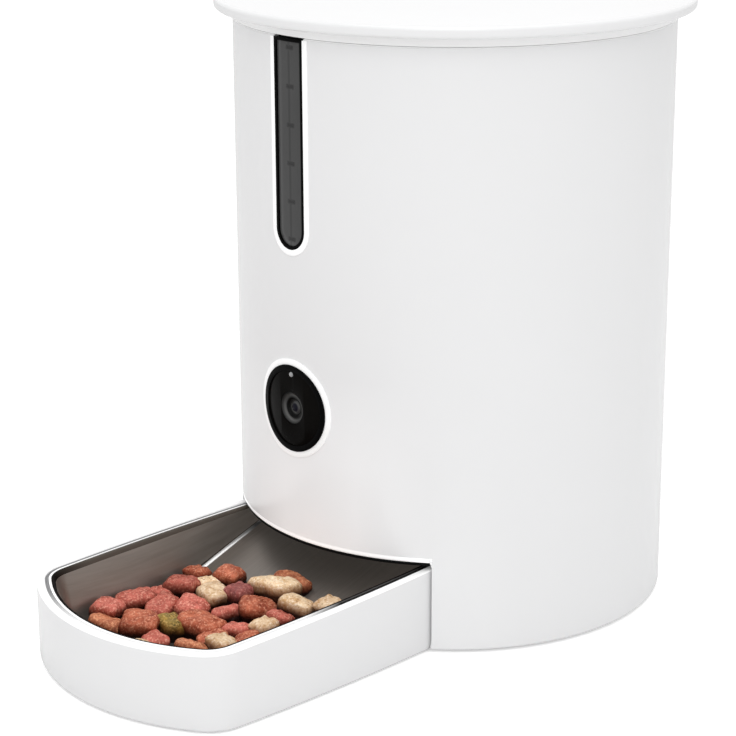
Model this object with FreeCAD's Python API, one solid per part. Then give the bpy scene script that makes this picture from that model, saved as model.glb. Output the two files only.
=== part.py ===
import FreeCAD, Part
import math
import os

V = FreeCAD.Vector
UP = V(0, 0, 1)
FORWARD = V(0, -1, 0)
BACKWARD = V(0, 1, 0)

# All sizes are in millimetres. The feeder is drawn about the upright axis of its
# round body, with the floor at zero height and the bowl towards -Y.

# Round body
BODY_RADIUS = 101.5
BODY_WALL = 3.0
BODY_HEIGHT = 271.5
FOOT_HEIGHT = 1.5
EDGE_ROUND = 0.8

# Clearances
RUNNING_GAP = 0.06
LOOSE_GAP = 0.3
SLIDE_GAP = 0.6

# Lid
LID_RADIUS = 110.0
LID_RING_HEIGHT = 4.3
LID_FLANGE = 5.2
LID_RING_STEP = 0.6
LID_SHEET = 2.4
LID_EDGE_ROUND = 1.7
LINER_DEPTH = 20.0
LINER_WALL = 2.0
SEAL_HEIGHT = 7.0
SEAL_LIP = 1.3
SEAL_SPACE = 3.5
SEAL_BODY = 1.5
SEAL_RISE = 4.0
DESICCANT_RADIUS = 30.0
DESICCANT_DEPTH = 17.0
DESICCANT_WALL = 1.4
DESICCANT_RIM = 4.0
DESICCANT_SLOT_HALF = 1.2
DESICCANT_SLOT_RADII = (8.0, 15.0, 22.0)

# Bowl tray, in plan: a shallow front arc, round corners and nearly straight sides
TRAY_REACH = 223.0
TRAY_HALF_WIDTH = 66.0
TRAY_WIDEST = 150.0
TRAY_SIDE_RADIUS = 1200.0
TRAY_FRONT_RADIUS = 100.0
TRAY_CORNER_RADIUS = 20.0
TRAY_BACK = 56.0
TRAY_RIM_HEIGHT = 35.4
TRAY_RIM_ANGLE = 1.58
TRAY_UNDERSIDE = 0.9
TRAY_WALL = 2.6
TRAY_RIM_WIDTH = 3.8
TRAY_SHELF_WIDTH = 3.0
TRAY_SHELF_THICKNESS = 2.4
TRAY_FLOOR = 2.4
TRAY_EDGE_ROUND = 1.5
TRAY_OPENING_HEIGHT = 43.0

# Steel bowl
BOWL_SHEET = 0.8
BOWL_GROOVE = 0.5
BOWL_DROP = 0.4
BOWL_MOUTH_INSET = 9.5
BOWL_FLOOR_INSET = 16.0
BOWL_FLOOR_HEIGHT = 7.5
BOWL_RAMP_TOP = 34.0
BOWL_RAMP_ANGLE = 19.0

# Level window
WINDOW_WIDTH = 18.9
WINDOW_TIP_HEIGHT = 179.0
WINDOW_TOP_MARGIN = 0.6
WINDOW_BORDER = 2.4
WINDOW_FLANGE = 2.6
WINDOW_PROUD = 0.3
WINDOW_RECESS = 0.5
WINDOW_THICKNESS = 1.6

# Camera
CAMERA_HEIGHT = 106.0
CAMERA_RADIUS = 20.1
CAMERA_BEZEL_WIDTH = 2.6
CAMERA_PROUD = 1.0
CAMERA_COVER_PROUD = 0.6
CAMERA_APERTURE = 7.6
CAMERA_DEPTH = 12.0
BARREL_FACE_DROP = 0.3
BARREL_RIM = 0.9
BARREL_COLLAR = 6.0
BARREL_STEP = 1.6
LENS_RADIUS = 2.8
LENS_DROP = 1.5
LENS_DOME_RADIUS = 4.0
LENS_LENGTH = 9.0
LIGHT_RADIUS = 1.0
LIGHT_OFFSET = 15.9
LIGHT_PROUD = 0.1
CAMERA_BOARD_WIDTH = 26.0
CAMERA_BOARD_BOTTOM = 16.0
CAMERA_BOARD_TOP = 19.0
CAMERA_SOCKET_DROP = 2.0
SOCKET_HEIGHT = 2.5
BRACKET_STANDOFF = 3.2
BRACKET_THICKNESS = 2.0
BRACKET_BAR = 8.0
CAMERA_POST_OFFSET = 6.0
CAMERA_POST_RADIUS = 4.0
CAMERA_NOTCH_GAP = 2.0
BRACKET_SCREW_GRIP = 3.5
BOARD_THICKNESS = 1.6

# Deck under the hopper
DECK_HEIGHT = 126.0
DECK_THICKNESS = 3.0
LEDGE_WIDTH = 4.5
LEDGE_THICKNESS = 3.0
DECK_COLLAR_WALL = 2.0
DECK_COLLAR_HEIGHT = 5.0

# Outlet from hopper to bowl
OUTLET_INNER = 33.0
OUTLET_OUTER = 63.0
OUTLET_HALF_ANGLE = 26.0
CHUTE_WALL = 2.0
CHUTE_MOUTH_FRONT = 91.0
CHUTE_MOUTH_BACK = 68.5
CHUTE_MOUTH_HALF = 27.0
CHUTE_MOUTH_HEIGHT = 44.0
CHUTE_FLANGE = 5.0

# Hopper
HOPPER_RADIUS = 91.0
HOPPER_WALL = 2.0
HOPPER_TOP_DROP = 4.0
HOPPER_RIM = 3.5
HOPPER_TAB_HEIGHT = 6.0
HOPPER_TAB_HALF_ANGLE = 12.0
ROTOR_CHAMBER = 66.0
ROTOR_CHAMBER_HEIGHT = 27.0
FUNNEL_HEIGHT = 20.0
SKIRT_WALL = 1.6
SKIRT_DEPTH = 6.0
BAFFLE_HALF_ANGLE = 38.0
BAFFLE_THICKNESS = 2.0
BAFFLE_TILT = 2.0
FLAP_DEPTH = 1.2
FLAP_HALF_ANGLE = 0.7

# Portion rotor
ROTOR_PADDLES = 6
ROTOR_HUB = 14.0
ROTOR_HEIGHT = 23.0
PADDLE_THICKNESS = 2.6
PADDLE_TIP_GAP = 2.5
HEX_ACROSS = 10.0

# Gear train
MODULE = 1.0
OUTPUT_TEETH = 42
IDLER_WHEEL_TEETH = 36
IDLER_PINION_TEETH = 12
MOTOR_PINION_TEETH = 12
GEAR_WIDTH = 7.0
PRESSURE_ANGLE = 20.0
TOOTH_TIP = 0.75
TOOTH_ROOT = 1.05
TOOTH_THIN = 0.12
OUTPUT_SHAFT_RADIUS = 5.0
IDLER_PIN_RADIUS = 2.0
MOTOR_SHAFT_RADIUS = 2.0
GEARBOX_WALL = 2.0
GEARBOX_FLOOR = 3.0
GEARBOX_COVER = 3.0
MOTOR_RADIUS = 12.5
MOTOR_LENGTH = 44.0
MOTOR_SCREW_SPACING = 17.0
MOTOR_GEARHEAD = 16.0
MOTOR_CAN_STEP = 0.7
MOTOR_SHAFT_GRIP = 6.0
GEAR_CLEAR = 0.9
GEARBOX_BACK_RADIUS = 17.0
GEARBOX_LUG_OFFSET = 3.0
GEARBOX_LUG_Y = 6.0
GEARBOX_SCREW_GRIP = 2.0
IDLER_PIN_SINK = 2.0
GEAR_WEB_THICKNESS = 4.8
GEAR_RIM = 3.5

# Base
BASE_THICKNESS = 3.0
BASE_RECESS = 1.0
FOOT_RADIUS = 7.0
FOOT_PLACES = [(80.0, -25.0), (-80.0, -25.0), (32.0, 76.0), (-32.0, 76.0)]
TRAY_FOOT_RADIUS = 5.0
TRAY_FOOT_PLACES = [(44.0, -188.0), (-44.0, -188.0), (48.0, -112.0), (-48.0, -112.0)]
BASE_BOSS_ANGLES = [8.0, 52.0, 128.0, 172.0]
BASE_BOSS_CIRCLE = 88.0
BASE_BOSS_HEIGHT = 20.0
DECK_BOSS_ANGLES = [30.0, 150.0, 210.0, 330.0]
DECK_BOSS_CIRCLE = 90.0
DECK_BOSS_HEIGHT = 16.0
BOSS_RADIUS = 4.5
SCREW_RADIUS = 1.5
SCREW_HEAD = 2.9
SCREW_HEAD_HEIGHT = 1.8
SCREW_HEAD_RIM = 0.9
SCREW_CROWN = 0.8
SCREW_LENGTH = 10.0
SCREW_GAP = 0.02
SCREW_HEAD_GAP = 0.2
BASE_SCREW_SINK = 1.2
TRAY_PIN_RADIUS = 2.5
TRAY_PIN_LENGTH = 7.0
TRAY_PIN_SPACING = 70.0
TRAY_PIN_HEIGHT = 15.0
TRAY_STOP_THICKNESS = 3.0
TRAY_STOP_MARGIN = 9.0

# Electronics at the back
MAIN_BOARD_WIDTH = 70.0
MAIN_BOARD_BOTTOM = 14.0
MAIN_BOARD_TOP = 100.0
RADIO_WIDTH = 18.0
RADIO_HEIGHT = 26.0
RADIO_DEPTH = 3.0
CHIP_SIDE = 14.0
CHIP_DEPTH = 1.5
COIL_SIDE = 10.0
COIL_DEPTH = 6.0
CAPACITOR_RADIUS = 4.0
CAPACITOR_LENGTH = 10.0
MAIN_BOARD_BACK = 81.0
BOARD_POST_INSET = 4.0
BOARD_POST_RADIUS = 3.5
INLET_HEIGHT = 24.0
INLET_RADIUS = 5.2
INLET_BORE = 3.2
INLET_BORE_DEPTH = 9.0
INLET_HALF_WIDTH = 4.5
INLET_RECESS = 0.5
BUTTON_RADIUS = 3.6
BUTTON_OFFSET = 24.0
BUTTON_PROUD = 1.7
BUTTON_STEM = 1.8
SWITCH_HEIGHT = 3.0
SWITCH_PLUNGER = 1.0
BUTTON_TRAVEL = 1.2
BUTTON_FLANGE = 1.4
SPEAKER_RADIUS = 18.0
SPEAKER_PLACE = (52.0, 18.0)
SPEAKER_HEIGHT = 8.0
SPEAKER_LIP = 2.5
SPEAKER_FRAME = 1.5
SPEAKER_CONE_DEPTH = 3.0
SPEAKER_CONE_RADIUS = 6.0
SPEAKER_MAGNET_RADIUS = 10.0
SPEAKER_MAGNET_HEIGHT = 3.0
GRILLE_HOLE = 1.6
GRILLE_PITCH = 6.0
CABLE_RADIUS = 1.2
CABLE_BEND = 12.0

# Heights and radii that follow from the sizes above
BODY_TOP = FOOT_HEIGHT + BODY_HEIGHT
BODY_INSIDE = BODY_RADIUS - BODY_WALL
LID_RING_BOTTOM = BODY_TOP + LOOSE_GAP
LID_FLANGE_BOTTOM = LID_RING_BOTTOM + LID_RING_HEIGHT
LID_TOP = LID_FLANGE_BOTTOM + LID_FLANGE
LID_UNDERSIDE = LID_TOP - LID_SHEET
LINER_BOTTOM = LID_UNDERSIDE - LINER_DEPTH
LINER_RADIUS = HOPPER_RADIUS - SEAL_SPACE
SEAL_BOTTOM = LINER_BOTTOM + SEAL_RISE
DECK_TOP = DECK_HEIGHT + DECK_THICKNESS
HOPPER_BOTTOM = DECK_TOP + LOOSE_GAP
HOPPER_FLOOR = HOPPER_BOTTOM + HOPPER_WALL
HOPPER_TOP = BODY_TOP - HOPPER_TOP_DROP
CHAMBER_TOP = HOPPER_FLOOR + ROTOR_CHAMBER_HEIGHT
FUNNEL_TOP = CHAMBER_TOP + FUNNEL_HEIGHT
ROTOR_BOTTOM = HOPPER_FLOOR + LOOSE_GAP
ROTOR_TOP = ROTOR_BOTTOM + ROTOR_HEIGHT
BASE_BOTTOM = FOOT_HEIGHT + BASE_RECESS
BASE_TOP = BASE_BOTTOM + BASE_THICKNESS
GEARBOX_TOP = DECK_HEIGHT
OUTPUT_PITCH = MODULE * OUTPUT_TEETH / 2
IDLER_WHEEL_PITCH = MODULE * IDLER_WHEEL_TEETH / 2
IDLER_PINION_PITCH = MODULE * IDLER_PINION_TEETH / 2
MOTOR_PINION_PITCH = MODULE * MOTOR_PINION_TEETH / 2
IDLER_Y = OUTPUT_PITCH + IDLER_PINION_PITCH
MOTOR_Y = IDLER_Y + IDLER_WHEEL_PITCH + MOTOR_PINION_PITCH
GEAR_TOP = GEARBOX_TOP - GEARBOX_COVER - 1.0
UPPER_GEAR = GEAR_TOP - GEAR_WIDTH
LOWER_GEAR = UPPER_GEAR - 1.5 - GEAR_WIDTH
GEARBOX_INSIDE = LOWER_GEAR - 1.0
GEARBOX_BOTTOM = GEARBOX_INSIDE - GEARBOX_FLOOR
MOTOR_SCREW_SEAT = GEARBOX_INSIDE - SCREW_HEAD_HEIGHT
MOTOR_SCREW_PLACES = (-MOTOR_SCREW_SPACING / 2, MOTOR_SCREW_SPACING / 2)
CAMERA_FACE = BODY_RADIUS + CAMERA_COVER_PROUD
CHUTE_TOP_HALF = OUTLET_OUTER * math.sin(math.radians(OUTLET_HALF_ANGLE))
CHUTE_TOP_BACK = OUTLET_INNER * math.cos(math.radians(OUTLET_HALF_ANGLE)) - 1.0
CAMERA_BOARD_FACE = BODY_RADIUS - CAMERA_DEPTH
CAMERA_POST_X = CAMERA_BOARD_WIDTH / 2 + CAMERA_POST_OFFSET
CAMERA_NOTCH_HALF = CAMERA_POST_X + CAMERA_POST_RADIUS + CAMERA_NOTCH_GAP
BRACKET_FACE = BOARD_THICKNESS + BRACKET_STANDOFF - CAMERA_BOARD_FACE

# The whole feeder is shifted along Y so that the middle of its outline, from the
# front of the tray to the back of the lid, lies at the origin.
AXIS_Y = (TRAY_REACH - LID_RADIUS) / 2


def save(name, shape):
    """Write one piece, shifted to its place about the middle of the outline."""
    placed = shape.copy()
    placed.translate(V(0, AXIS_Y, 0))
    placed.exportStep("parts/" + name + ".step")


def rod(radius, bottom, top, x=0.0, y=0.0):
    return Part.makeCylinder(radius, top - bottom, V(x, y, bottom))


def tube(outer, inner, bottom, top, x=0.0, y=0.0):
    return rod(outer, bottom, top, x, y).cut(rod(inner, bottom - 1, top + 1, x, y))


def block(x0, x1, y0, y1, z0, z1):
    return Part.makeBox(x1 - x0, y1 - y0, z1 - z0, V(x0, y0, z0))


def along_y(radius, y0, y1, x, z):
    """A rod that runs front to back."""
    return Part.makeCylinder(radius, y1 - y0, V(x, y0, z), BACKWARD)


def turned(profile, axis=UP, centre=V(0, 0, 0)):
    """A solid of revolution from corner points (radius, height)."""
    points = [V(r, 0, z) for r, z in profile]
    face = Part.Face(Part.makePolygon(points + [points[0]]))
    solid = face.revolve(V(0, 0, 0), UP, 360)
    if axis != UP:
        solid.Placement = FreeCAD.Placement(centre, FreeCAD.Rotation(UP, axis))
    else:
        solid.translate(centre)
    return solid


def fuse_all(shapes):
    result = shapes[0]
    if len(shapes) > 1:
        result = result.multiFuse(shapes[1:])
    return result.removeSplitter()


def polar(radius, degrees):
    """A point at a distance from the body axis; zero degrees is +X."""
    angle = math.radians(degrees)
    return radius * math.cos(angle), radius * math.sin(angle)


def sector(inner, outer, half_angle, bottom, top, middle=-90.0):
    """A ring segment about the body axis, centred on an angle."""
    a0, a1 = middle - half_angle, middle + half_angle
    points = [polar(outer, a0), polar(outer, middle), polar(outer, a1)]
    points += [polar(inner, a1), polar(inner, middle), polar(inner, a0)]
    p = [V(x, y, bottom) for x, y in points]
    edges = [Part.Arc(p[0], p[1], p[2]).toShape(), Part.makeLine(p[2], p[3])]
    edges += [Part.Arc(p[3], p[4], p[5]).toShape(), Part.makeLine(p[5], p[0])]
    return Part.Face(Part.Wire(edges)).extrude(V(0, 0, top - bottom))


def belt_outline(y0, r0, y1, r1, z):
    """Two circles on the Y axis joined by their outer tangents."""
    lean = math.asin((r0 - r1) / (y1 - y0))
    c, s = math.cos(lean), math.sin(lean)
    a, b = V(r0 * c, y0 + r0 * s, z), V(-r0 * c, y0 + r0 * s, z)
    d, e = V(r1 * c, y1 + r1 * s, z), V(-r1 * c, y1 + r1 * s, z)
    edges = [Part.Arc(b, V(0, y0 - r0, z), a).toShape(), Part.makeLine(a, d)]
    edges += [Part.Arc(d, V(0, y1 + r1, z), e).toShape(), Part.makeLine(e, b)]
    return Part.Wire(edges)


def belt(y0, r0, y1, r1, bottom, top):
    face = Part.Face(belt_outline(y0, r0, y1, r1, bottom))
    return face.extrude(V(0, 0, top - bottom))


def rounded_rectangle(x0, x1, y0, y1, radius, z):
    middle = V((x0 + x1) / 2, (y0 + y1) / 2, z)
    corners = [V(x0, y0, z), V(x1, y0, z), V(x1, y1, z), V(x0, y1, z)]
    edges = []
    for i, corner in enumerate(corners):
        before, after = corners[i - 1], corners[(i + 1) % 4]
        start = corner + (before - corner).normalize() * radius
        end = corner + (after - corner).normalize() * radius
        centre = start + (after - corner).normalize() * radius
        halfway = centre + (corner - centre).normalize() * radius
        edges.append(Part.Arc(start, halfway, end).toShape())
        next_start = after + (corner - after).normalize() * radius
        edges.append(Part.makeLine(end, next_start))
    return Part.Wire(edges)


def cable(points, radius, bend):
    """A round cable along straight runs joined by tangent arcs."""
    points = [V(*p) for p in points]
    edges = []
    start = points[0]
    for before, corner, after in zip(points, points[1:], points[2:]):
        back, ahead = (before - corner).normalize(), (after - corner).normalize()
        half = back.getAngle(ahead) / 2
        reach = min(bend / math.tan(half), 0.45 * min((before - corner).Length, (after - corner).Length))
        first, last = corner + back * reach, corner + ahead * reach
        bisector = (back + ahead).normalize()
        centre = corner + bisector * (reach / math.cos(half))
        middle = centre - bisector * (reach * math.tan(half))
        edges.append(Part.makeLine(start, first))
        edges.append(Part.Arc(first, middle, last).toShape())
        start = last
    edges.append(Part.makeLine(start, points[-1]))
    path = Part.Wire(edges)
    section = Part.Wire(Part.makeCircle(radius, points[0], points[1] - points[0]))
    return path.makePipeShell([section], True, False)


# Plan of the bowl tray
TRAY_FRONT_CENTRE = V(0, TRAY_FRONT_RADIUS - TRAY_REACH, 0)
TRAY_SIDE_CENTRE = V(TRAY_HALF_WIDTH - TRAY_SIDE_RADIUS, -TRAY_WIDEST, 0)


def tray_corner_centre():
    """Centre of the corner arc, tangent inside the front arc and the side arc."""
    to_front = TRAY_FRONT_RADIUS - TRAY_CORNER_RADIUS
    to_side = TRAY_SIDE_RADIUS - TRAY_CORNER_RADIUS
    line = TRAY_SIDE_CENTRE - TRAY_FRONT_CENTRE
    along = (to_front ** 2 - to_side ** 2 + line.Length ** 2) / (2 * line.Length)
    across = math.sqrt(to_front ** 2 - along ** 2)
    line.normalize()
    return TRAY_FRONT_CENTRE + line * along + V(-line.y, line.x, 0) * across


def tray_side_x(y, inset=0.0):
    """Half width of the tray plan at a distance in front of the axis."""
    radius = TRAY_SIDE_RADIUS - inset
    return TRAY_SIDE_CENTRE.x + math.sqrt(radius ** 2 - (y - TRAY_SIDE_CENTRE.y) ** 2)


def tray_outline(inset, z):
    """Closed plan of the tray, drawn in from its outer face by an inset."""
    corner = tray_corner_centre()
    outward_front = (corner - TRAY_FRONT_CENTRE).normalize()
    outward_side = (corner - TRAY_SIDE_CENTRE).normalize()
    between = (outward_front + outward_side).normalize()
    front = TRAY_FRONT_CENTRE + outward_front * (TRAY_FRONT_RADIUS - inset)
    side = TRAY_SIDE_CENTRE + outward_side * (TRAY_SIDE_RADIUS - inset)
    bend = corner + between * (TRAY_CORNER_RADIUS - inset)
    back_y = -(TRAY_BACK + inset)
    back = V(tray_side_x(back_y, inset), back_y, 0)
    middle_y = (side.y + back_y) / 2
    waist = V(tray_side_x(middle_y, inset), middle_y, 0)
    nose = V(0, inset - TRAY_REACH, 0)

    def lift(p, mirror=1):
        return V(mirror * p.x, p.y, z)

    edges = [Part.Arc(lift(front, -1), lift(nose), lift(front)).toShape()]
    edges.append(Part.Arc(lift(front), lift(bend), lift(side)).toShape())
    edges.append(Part.Arc(lift(side), lift(waist), lift(back)).toShape())
    edges.append(Part.makeLine(lift(back), lift(back, -1)))
    edges.append(Part.Arc(lift(back, -1), lift(waist, -1), lift(side, -1)).toShape())
    edges.append(Part.Arc(lift(side, -1), lift(bend, -1), lift(front, -1)).toShape())
    return Part.Wire(edges)


def tray_prism(inset, bottom, top):
    return Part.Face(tray_outline(inset, bottom)).extrude(V(0, 0, top - bottom))


def sloped_block(y, z, degrees):
    """A large block whose top face rises towards the back through a point."""
    size = 600.0
    lump = Part.makeBox(size, size, size / 2, V(-size / 2, -size / 2, -size / 2))
    lump.rotate(V(0, 0, 0), V(1, 0, 0), degrees)
    lump.translate(V(0, y, z))
    return lump


def below_rim(drop):
    """Everything under the tray's rim plane lowered by a drop."""
    return sloped_block(-TRAY_REACH, TRAY_RIM_HEIGHT - drop, TRAY_RIM_ANGLE)


def rim_height(y):
    return TRAY_RIM_HEIGHT + (y + TRAY_REACH) * math.tan(math.radians(TRAY_RIM_ANGLE))


RIM_CLEAR = rim_height(0.0) + 10.0
SHELF_DROP = BOWL_DROP + BOWL_SHEET


def bowl_tray():
    solid = tray_prism(0, TRAY_UNDERSIDE, RIM_CLEAR)
    solid = solid.makeFillet(TRAY_EDGE_ROUND, bottom_edges(solid, TRAY_UNDERSIDE))
    solid = solid.common(below_rim(0))
    above_shelf = tray_prism(TRAY_RIM_WIDTH, FOOT_HEIGHT, RIM_CLEAR).cut(below_rim(SHELF_DROP))
    shelf_inset = TRAY_RIM_WIDTH + TRAY_SHELF_WIDTH
    shelf_hole = tray_prism(shelf_inset, FOOT_HEIGHT + TRAY_FLOOR, RIM_CLEAR)
    below_shelf = tray_prism(TRAY_WALL, FOOT_HEIGHT + TRAY_FLOOR, RIM_CLEAR)
    below_shelf = below_shelf.common(below_rim(SHELF_DROP + TRAY_SHELF_THICKNESS))
    solid = solid.cut(above_shelf).cut(shelf_hole).cut(below_shelf)
    for x, y in TRAY_FOOT_PLACES:
        solid = solid.cut(rod(TRAY_FOOT_RADIUS, 0, FOOT_HEIGHT, x, y))
    hole_radius = TRAY_PIN_RADIUS + LOOSE_GAP
    for x in (-TRAY_PIN_SPACING / 2, TRAY_PIN_SPACING / 2):
        solid = solid.cut(along_y(hole_radius, -TRAY_BACK - 10, -TRAY_BACK + 1, x, TRAY_PIN_HEIGHT))
    return solid.removeSplitter()


def bottom_edges(solid, height):
    """Edges that lie flat at one height."""
    return [e for e in solid.Edges
            if abs(e.BoundBox.ZMax - height) < 1e-6 and abs(e.BoundBox.ZMin - height) < 1e-6]


def bowl_cavity(grow):
    """The space inside the steel bowl, or the bowl's outer form when grown by its sheet."""
    floor = BOWL_FLOOR_HEIGHT - grow
    lean = (BOWL_FLOOR_INSET - BOWL_MOUTH_INSET) / (TRAY_RIM_HEIGHT - BOWL_FLOOR_HEIGHT)
    top_inset = BOWL_FLOOR_INSET - lean * (RIM_CLEAR - BOWL_FLOOR_HEIGHT)
    mouth = tray_outline(top_inset - grow, RIM_CLEAR)
    bottom = tray_outline(BOWL_FLOOR_INSET - grow, floor)
    space = Part.makeLoft([bottom, mouth], True, True)
    ramp_y = -(TRAY_BACK + BOWL_MOUTH_INSET)
    drop = grow / math.cos(math.radians(BOWL_RAMP_ANGLE))
    return space.cut(sloped_block(ramp_y, BOWL_RAMP_TOP - drop, BOWL_RAMP_ANGLE))


def steel_bowl():
    flange_inset = TRAY_RIM_WIDTH + BOWL_GROOVE
    flange = tray_prism(flange_inset, FOOT_HEIGHT, RIM_CLEAR)
    flange = flange.common(below_rim(BOWL_DROP)).cut(below_rim(SHELF_DROP))
    shell = bowl_cavity(BOWL_SHEET).common(below_rim(BOWL_DROP))
    return shell.fuse(flange).cut(bowl_cavity(0)).removeSplitter()


def tray_feet():
    pads = [rod(TRAY_FOOT_RADIUS, 0, FOOT_HEIGHT, x, y) for x, y in TRAY_FOOT_PLACES]
    return Part.makeCompound(pads)


# Level window
def window_plate(margin, inner, outer, top):
    """The slot's outline, widened by a margin, cut from a shell about the body axis."""
    half = WINDOW_WIDTH / 2 + margin
    centre_z = WINDOW_TIP_HEIGHT + WINDOW_WIDTH / 2
    straight = block(-half, half, -BODY_RADIUS - 20, -BODY_RADIUS / 2, centre_z, top)
    tip = along_y(half, -BODY_RADIUS - 20, -BODY_RADIUS / 2, 0, centre_z)
    return straight.fuse(tip).common(tube(outer, inner, 0, LID_TOP + 20))


WINDOW_TOP = BODY_TOP - WINDOW_TOP_MARGIN


def window_frame():
    inside = BODY_INSIDE
    front = window_plate(-0.05, inside, BODY_RADIUS + WINDOW_PROUD, WINDOW_TOP)
    flange = window_plate(WINDOW_FLANGE, inside - 1.4, inside, WINDOW_TOP)
    pane = window_plate(-WINDOW_BORDER, inside - 3, BODY_RADIUS + 3, WINDOW_TOP - WINDOW_BORDER)
    return front.fuse(flange).cut(pane).removeSplitter()


def level_window():
    outer = BODY_RADIUS - WINDOW_RECESS
    return window_plate(-WINDOW_BORDER, outer - WINDOW_THICKNESS, outer, WINDOW_TOP - WINDOW_BORDER)


# Camera
def camera_disc(radius, inner, outer):
    return along_y(radius, -outer - 5, -inner / 2, 0, CAMERA_HEIGHT).common(tube(outer, inner, 0, BODY_TOP))


def camera_bezel():
    ring = camera_disc(CAMERA_RADIUS, BODY_RADIUS, BODY_RADIUS + CAMERA_PROUD)
    return ring.cut(along_y(CAMERA_RADIUS - CAMERA_BEZEL_WIDTH, -BODY_RADIUS - 9, 0, 0, CAMERA_HEIGHT))


def camera_cover():
    disc = camera_disc(CAMERA_RADIUS - CAMERA_BEZEL_WIDTH, BODY_INSIDE, CAMERA_FACE)
    disc = disc.cut(along_y(CAMERA_APERTURE, -CAMERA_FACE - 9, 0, 0, CAMERA_HEIGHT))
    return disc.cut(along_y(LIGHT_RADIUS, -CAMERA_FACE - 9, 0, 0, CAMERA_HEIGHT + LIGHT_OFFSET))


def camera_barrel():
    """A stepped tube from the board to just behind the cover's face, dished round the lens."""
    depth = CAMERA_FACE - BARREL_FACE_DROP - CAMERA_BOARD_FACE
    r, lens = CAMERA_APERTURE, LENS_RADIUS
    collar = depth - BARREL_COLLAR
    profile = [(lens, 0), (r - BARREL_STEP, 0), (r - BARREL_STEP, collar), (r, collar), (r, depth)]
    profile += [(r - BARREL_RIM, depth), (lens + 2.2, depth - 1.6), (lens + 1.2, depth - 1.0)]
    profile += [(lens + 0.6, depth - 1.0), (lens, depth - 1.8)]
    return turned(profile, FORWARD, V(0, -CAMERA_BOARD_FACE, CAMERA_HEIGHT))


def camera_lens():
    """A rod with a domed front end."""
    front = LENS_DROP - CAMERA_FACE
    rear = front + LENS_LENGTH
    middle = front + LENS_DOME_RADIUS / 2
    ball = Part.makeSphere(LENS_DOME_RADIUS, V(0, front + LENS_DOME_RADIUS, CAMERA_HEIGHT))
    lens = along_y(LENS_RADIUS, front - 1, rear, 0, CAMERA_HEIGHT)
    return lens.common(ball.fuse(along_y(LENS_RADIUS, middle, rear, 0, CAMERA_HEIGHT)))


def status_light_guide():
    front = -CAMERA_FACE - LIGHT_PROUD
    return along_y(LIGHT_RADIUS, front, -CAMERA_BOARD_FACE, 0, CAMERA_HEIGHT + LIGHT_OFFSET)


def camera_board():
    half = CAMERA_BOARD_WIDTH / 2
    face = -CAMERA_BOARD_FACE
    low, high = CAMERA_HEIGHT - CAMERA_BOARD_BOTTOM, CAMERA_HEIGHT + CAMERA_BOARD_TOP
    board = block(-half, half, face, face + BOARD_THICKNESS, low, high)
    socket_z = CAMERA_HEIGHT - CAMERA_SOCKET_DROP
    back = face + BOARD_THICKNESS
    socket = block(-5, 5, back, back + SOCKET_HEIGHT, socket_z - 2.5, socket_z + 2.5)
    chip = block(-6, 6, back, back + 1.2, socket_z + 4, socket_z + 13)
    return fuse_all([board, socket, chip])


def camera_bracket():
    """A frame behind the camera board, screwed to two posts on the housing wall."""
    half = CAMERA_POST_X + CAMERA_POST_RADIUS
    low, high = CAMERA_HEIGHT - CAMERA_BOARD_BOTTOM + 1, CAMERA_HEIGHT + CAMERA_BOARD_TOP - 4
    back = BRACKET_FACE + BRACKET_THICKNESS
    bar, board_back = BRACKET_BAR, BOARD_THICKNESS - CAMERA_BOARD_FACE
    frame = block(-half, half, BRACKET_FACE, back, low, high)
    frame = frame.cut(block(-bar, bar, BRACKET_FACE - 1, back + 1, low + bar, high - bar))
    finger_x = CAMERA_BOARD_WIDTH / 2 - 3
    fingers = [block(x - 1.5, x + 1.5, board_back, BRACKET_FACE, z - 1.5, z + 1.5)
               for x in (-finger_x, finger_x) for z in (low + bar / 2, high - bar / 2)]
    frame = fuse_all([frame] + fingers)
    holes = [along_y(SCREW_RADIUS + SCREW_GAP, BRACKET_FACE - 1, back + 1, x, CAMERA_HEIGHT)
             for x in (-CAMERA_POST_X, CAMERA_POST_X)]
    return frame.cut(holes)


def bracket_screws():
    """Short screws that hold the bracket to its two posts."""
    seat = BRACKET_FACE + BRACKET_THICKNESS
    screws = []
    for x in (-CAMERA_POST_X, CAMERA_POST_X):
        head = along_y(SCREW_HEAD, seat, seat + SCREW_HEAD_HEIGHT, x, CAMERA_HEIGHT)
        shank = along_y(SCREW_RADIUS, BRACKET_FACE - BRACKET_SCREW_GRIP, seat, x, CAMERA_HEIGHT)
        screws.append(head.fuse(shank).removeSplitter())
    return Part.makeCompound(screws)


def camera_cable():
    """From the camera board round the left wall to the main board."""
    start_z = CAMERA_HEIGHT - CAMERA_SOCKET_DROP
    end_z = MAIN_BOARD_TOP - 10
    y = -CAMERA_BOARD_FACE + BOARD_THICKNESS + 2.5
    around = BODY_INSIDE - 9.0
    route = [(0, y, start_z), (0, y + 8, start_z), (-34, y + 9, start_z)]
    turns = [222.0, 198.0, 174.0, 150.0]
    for step, angle in enumerate(turns):
        x, along = polar(around, angle)
        route.append((x, along, start_z + (end_z - start_z) * (step + 1) / len(turns)))
    end_x = 8 - MAIN_BOARD_WIDTH / 2
    end_y = MAIN_BOARD_BACK - BOARD_THICKNESS
    route += [(end_x, end_y - 16, end_z), (end_x, end_y, end_z)]
    return cable(route, CABLE_RADIUS, CABLE_BEND)


# Body shell
def boss(circle, angle, bottom, top):
    """A screw boss on the inner wall with a web to the wall."""
    x, y = polar(circle, angle)
    post = rod(BOSS_RADIUS, bottom, top, x, y)
    reach = BODY_RADIUS - BODY_WALL / 2 - circle
    web = block(0, reach, -1.5, 1.5, bottom, top)
    web.rotate(V(0, 0, 0), UP, angle)
    web.translate(V(x, y, 0))
    return post.fuse(web)


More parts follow.
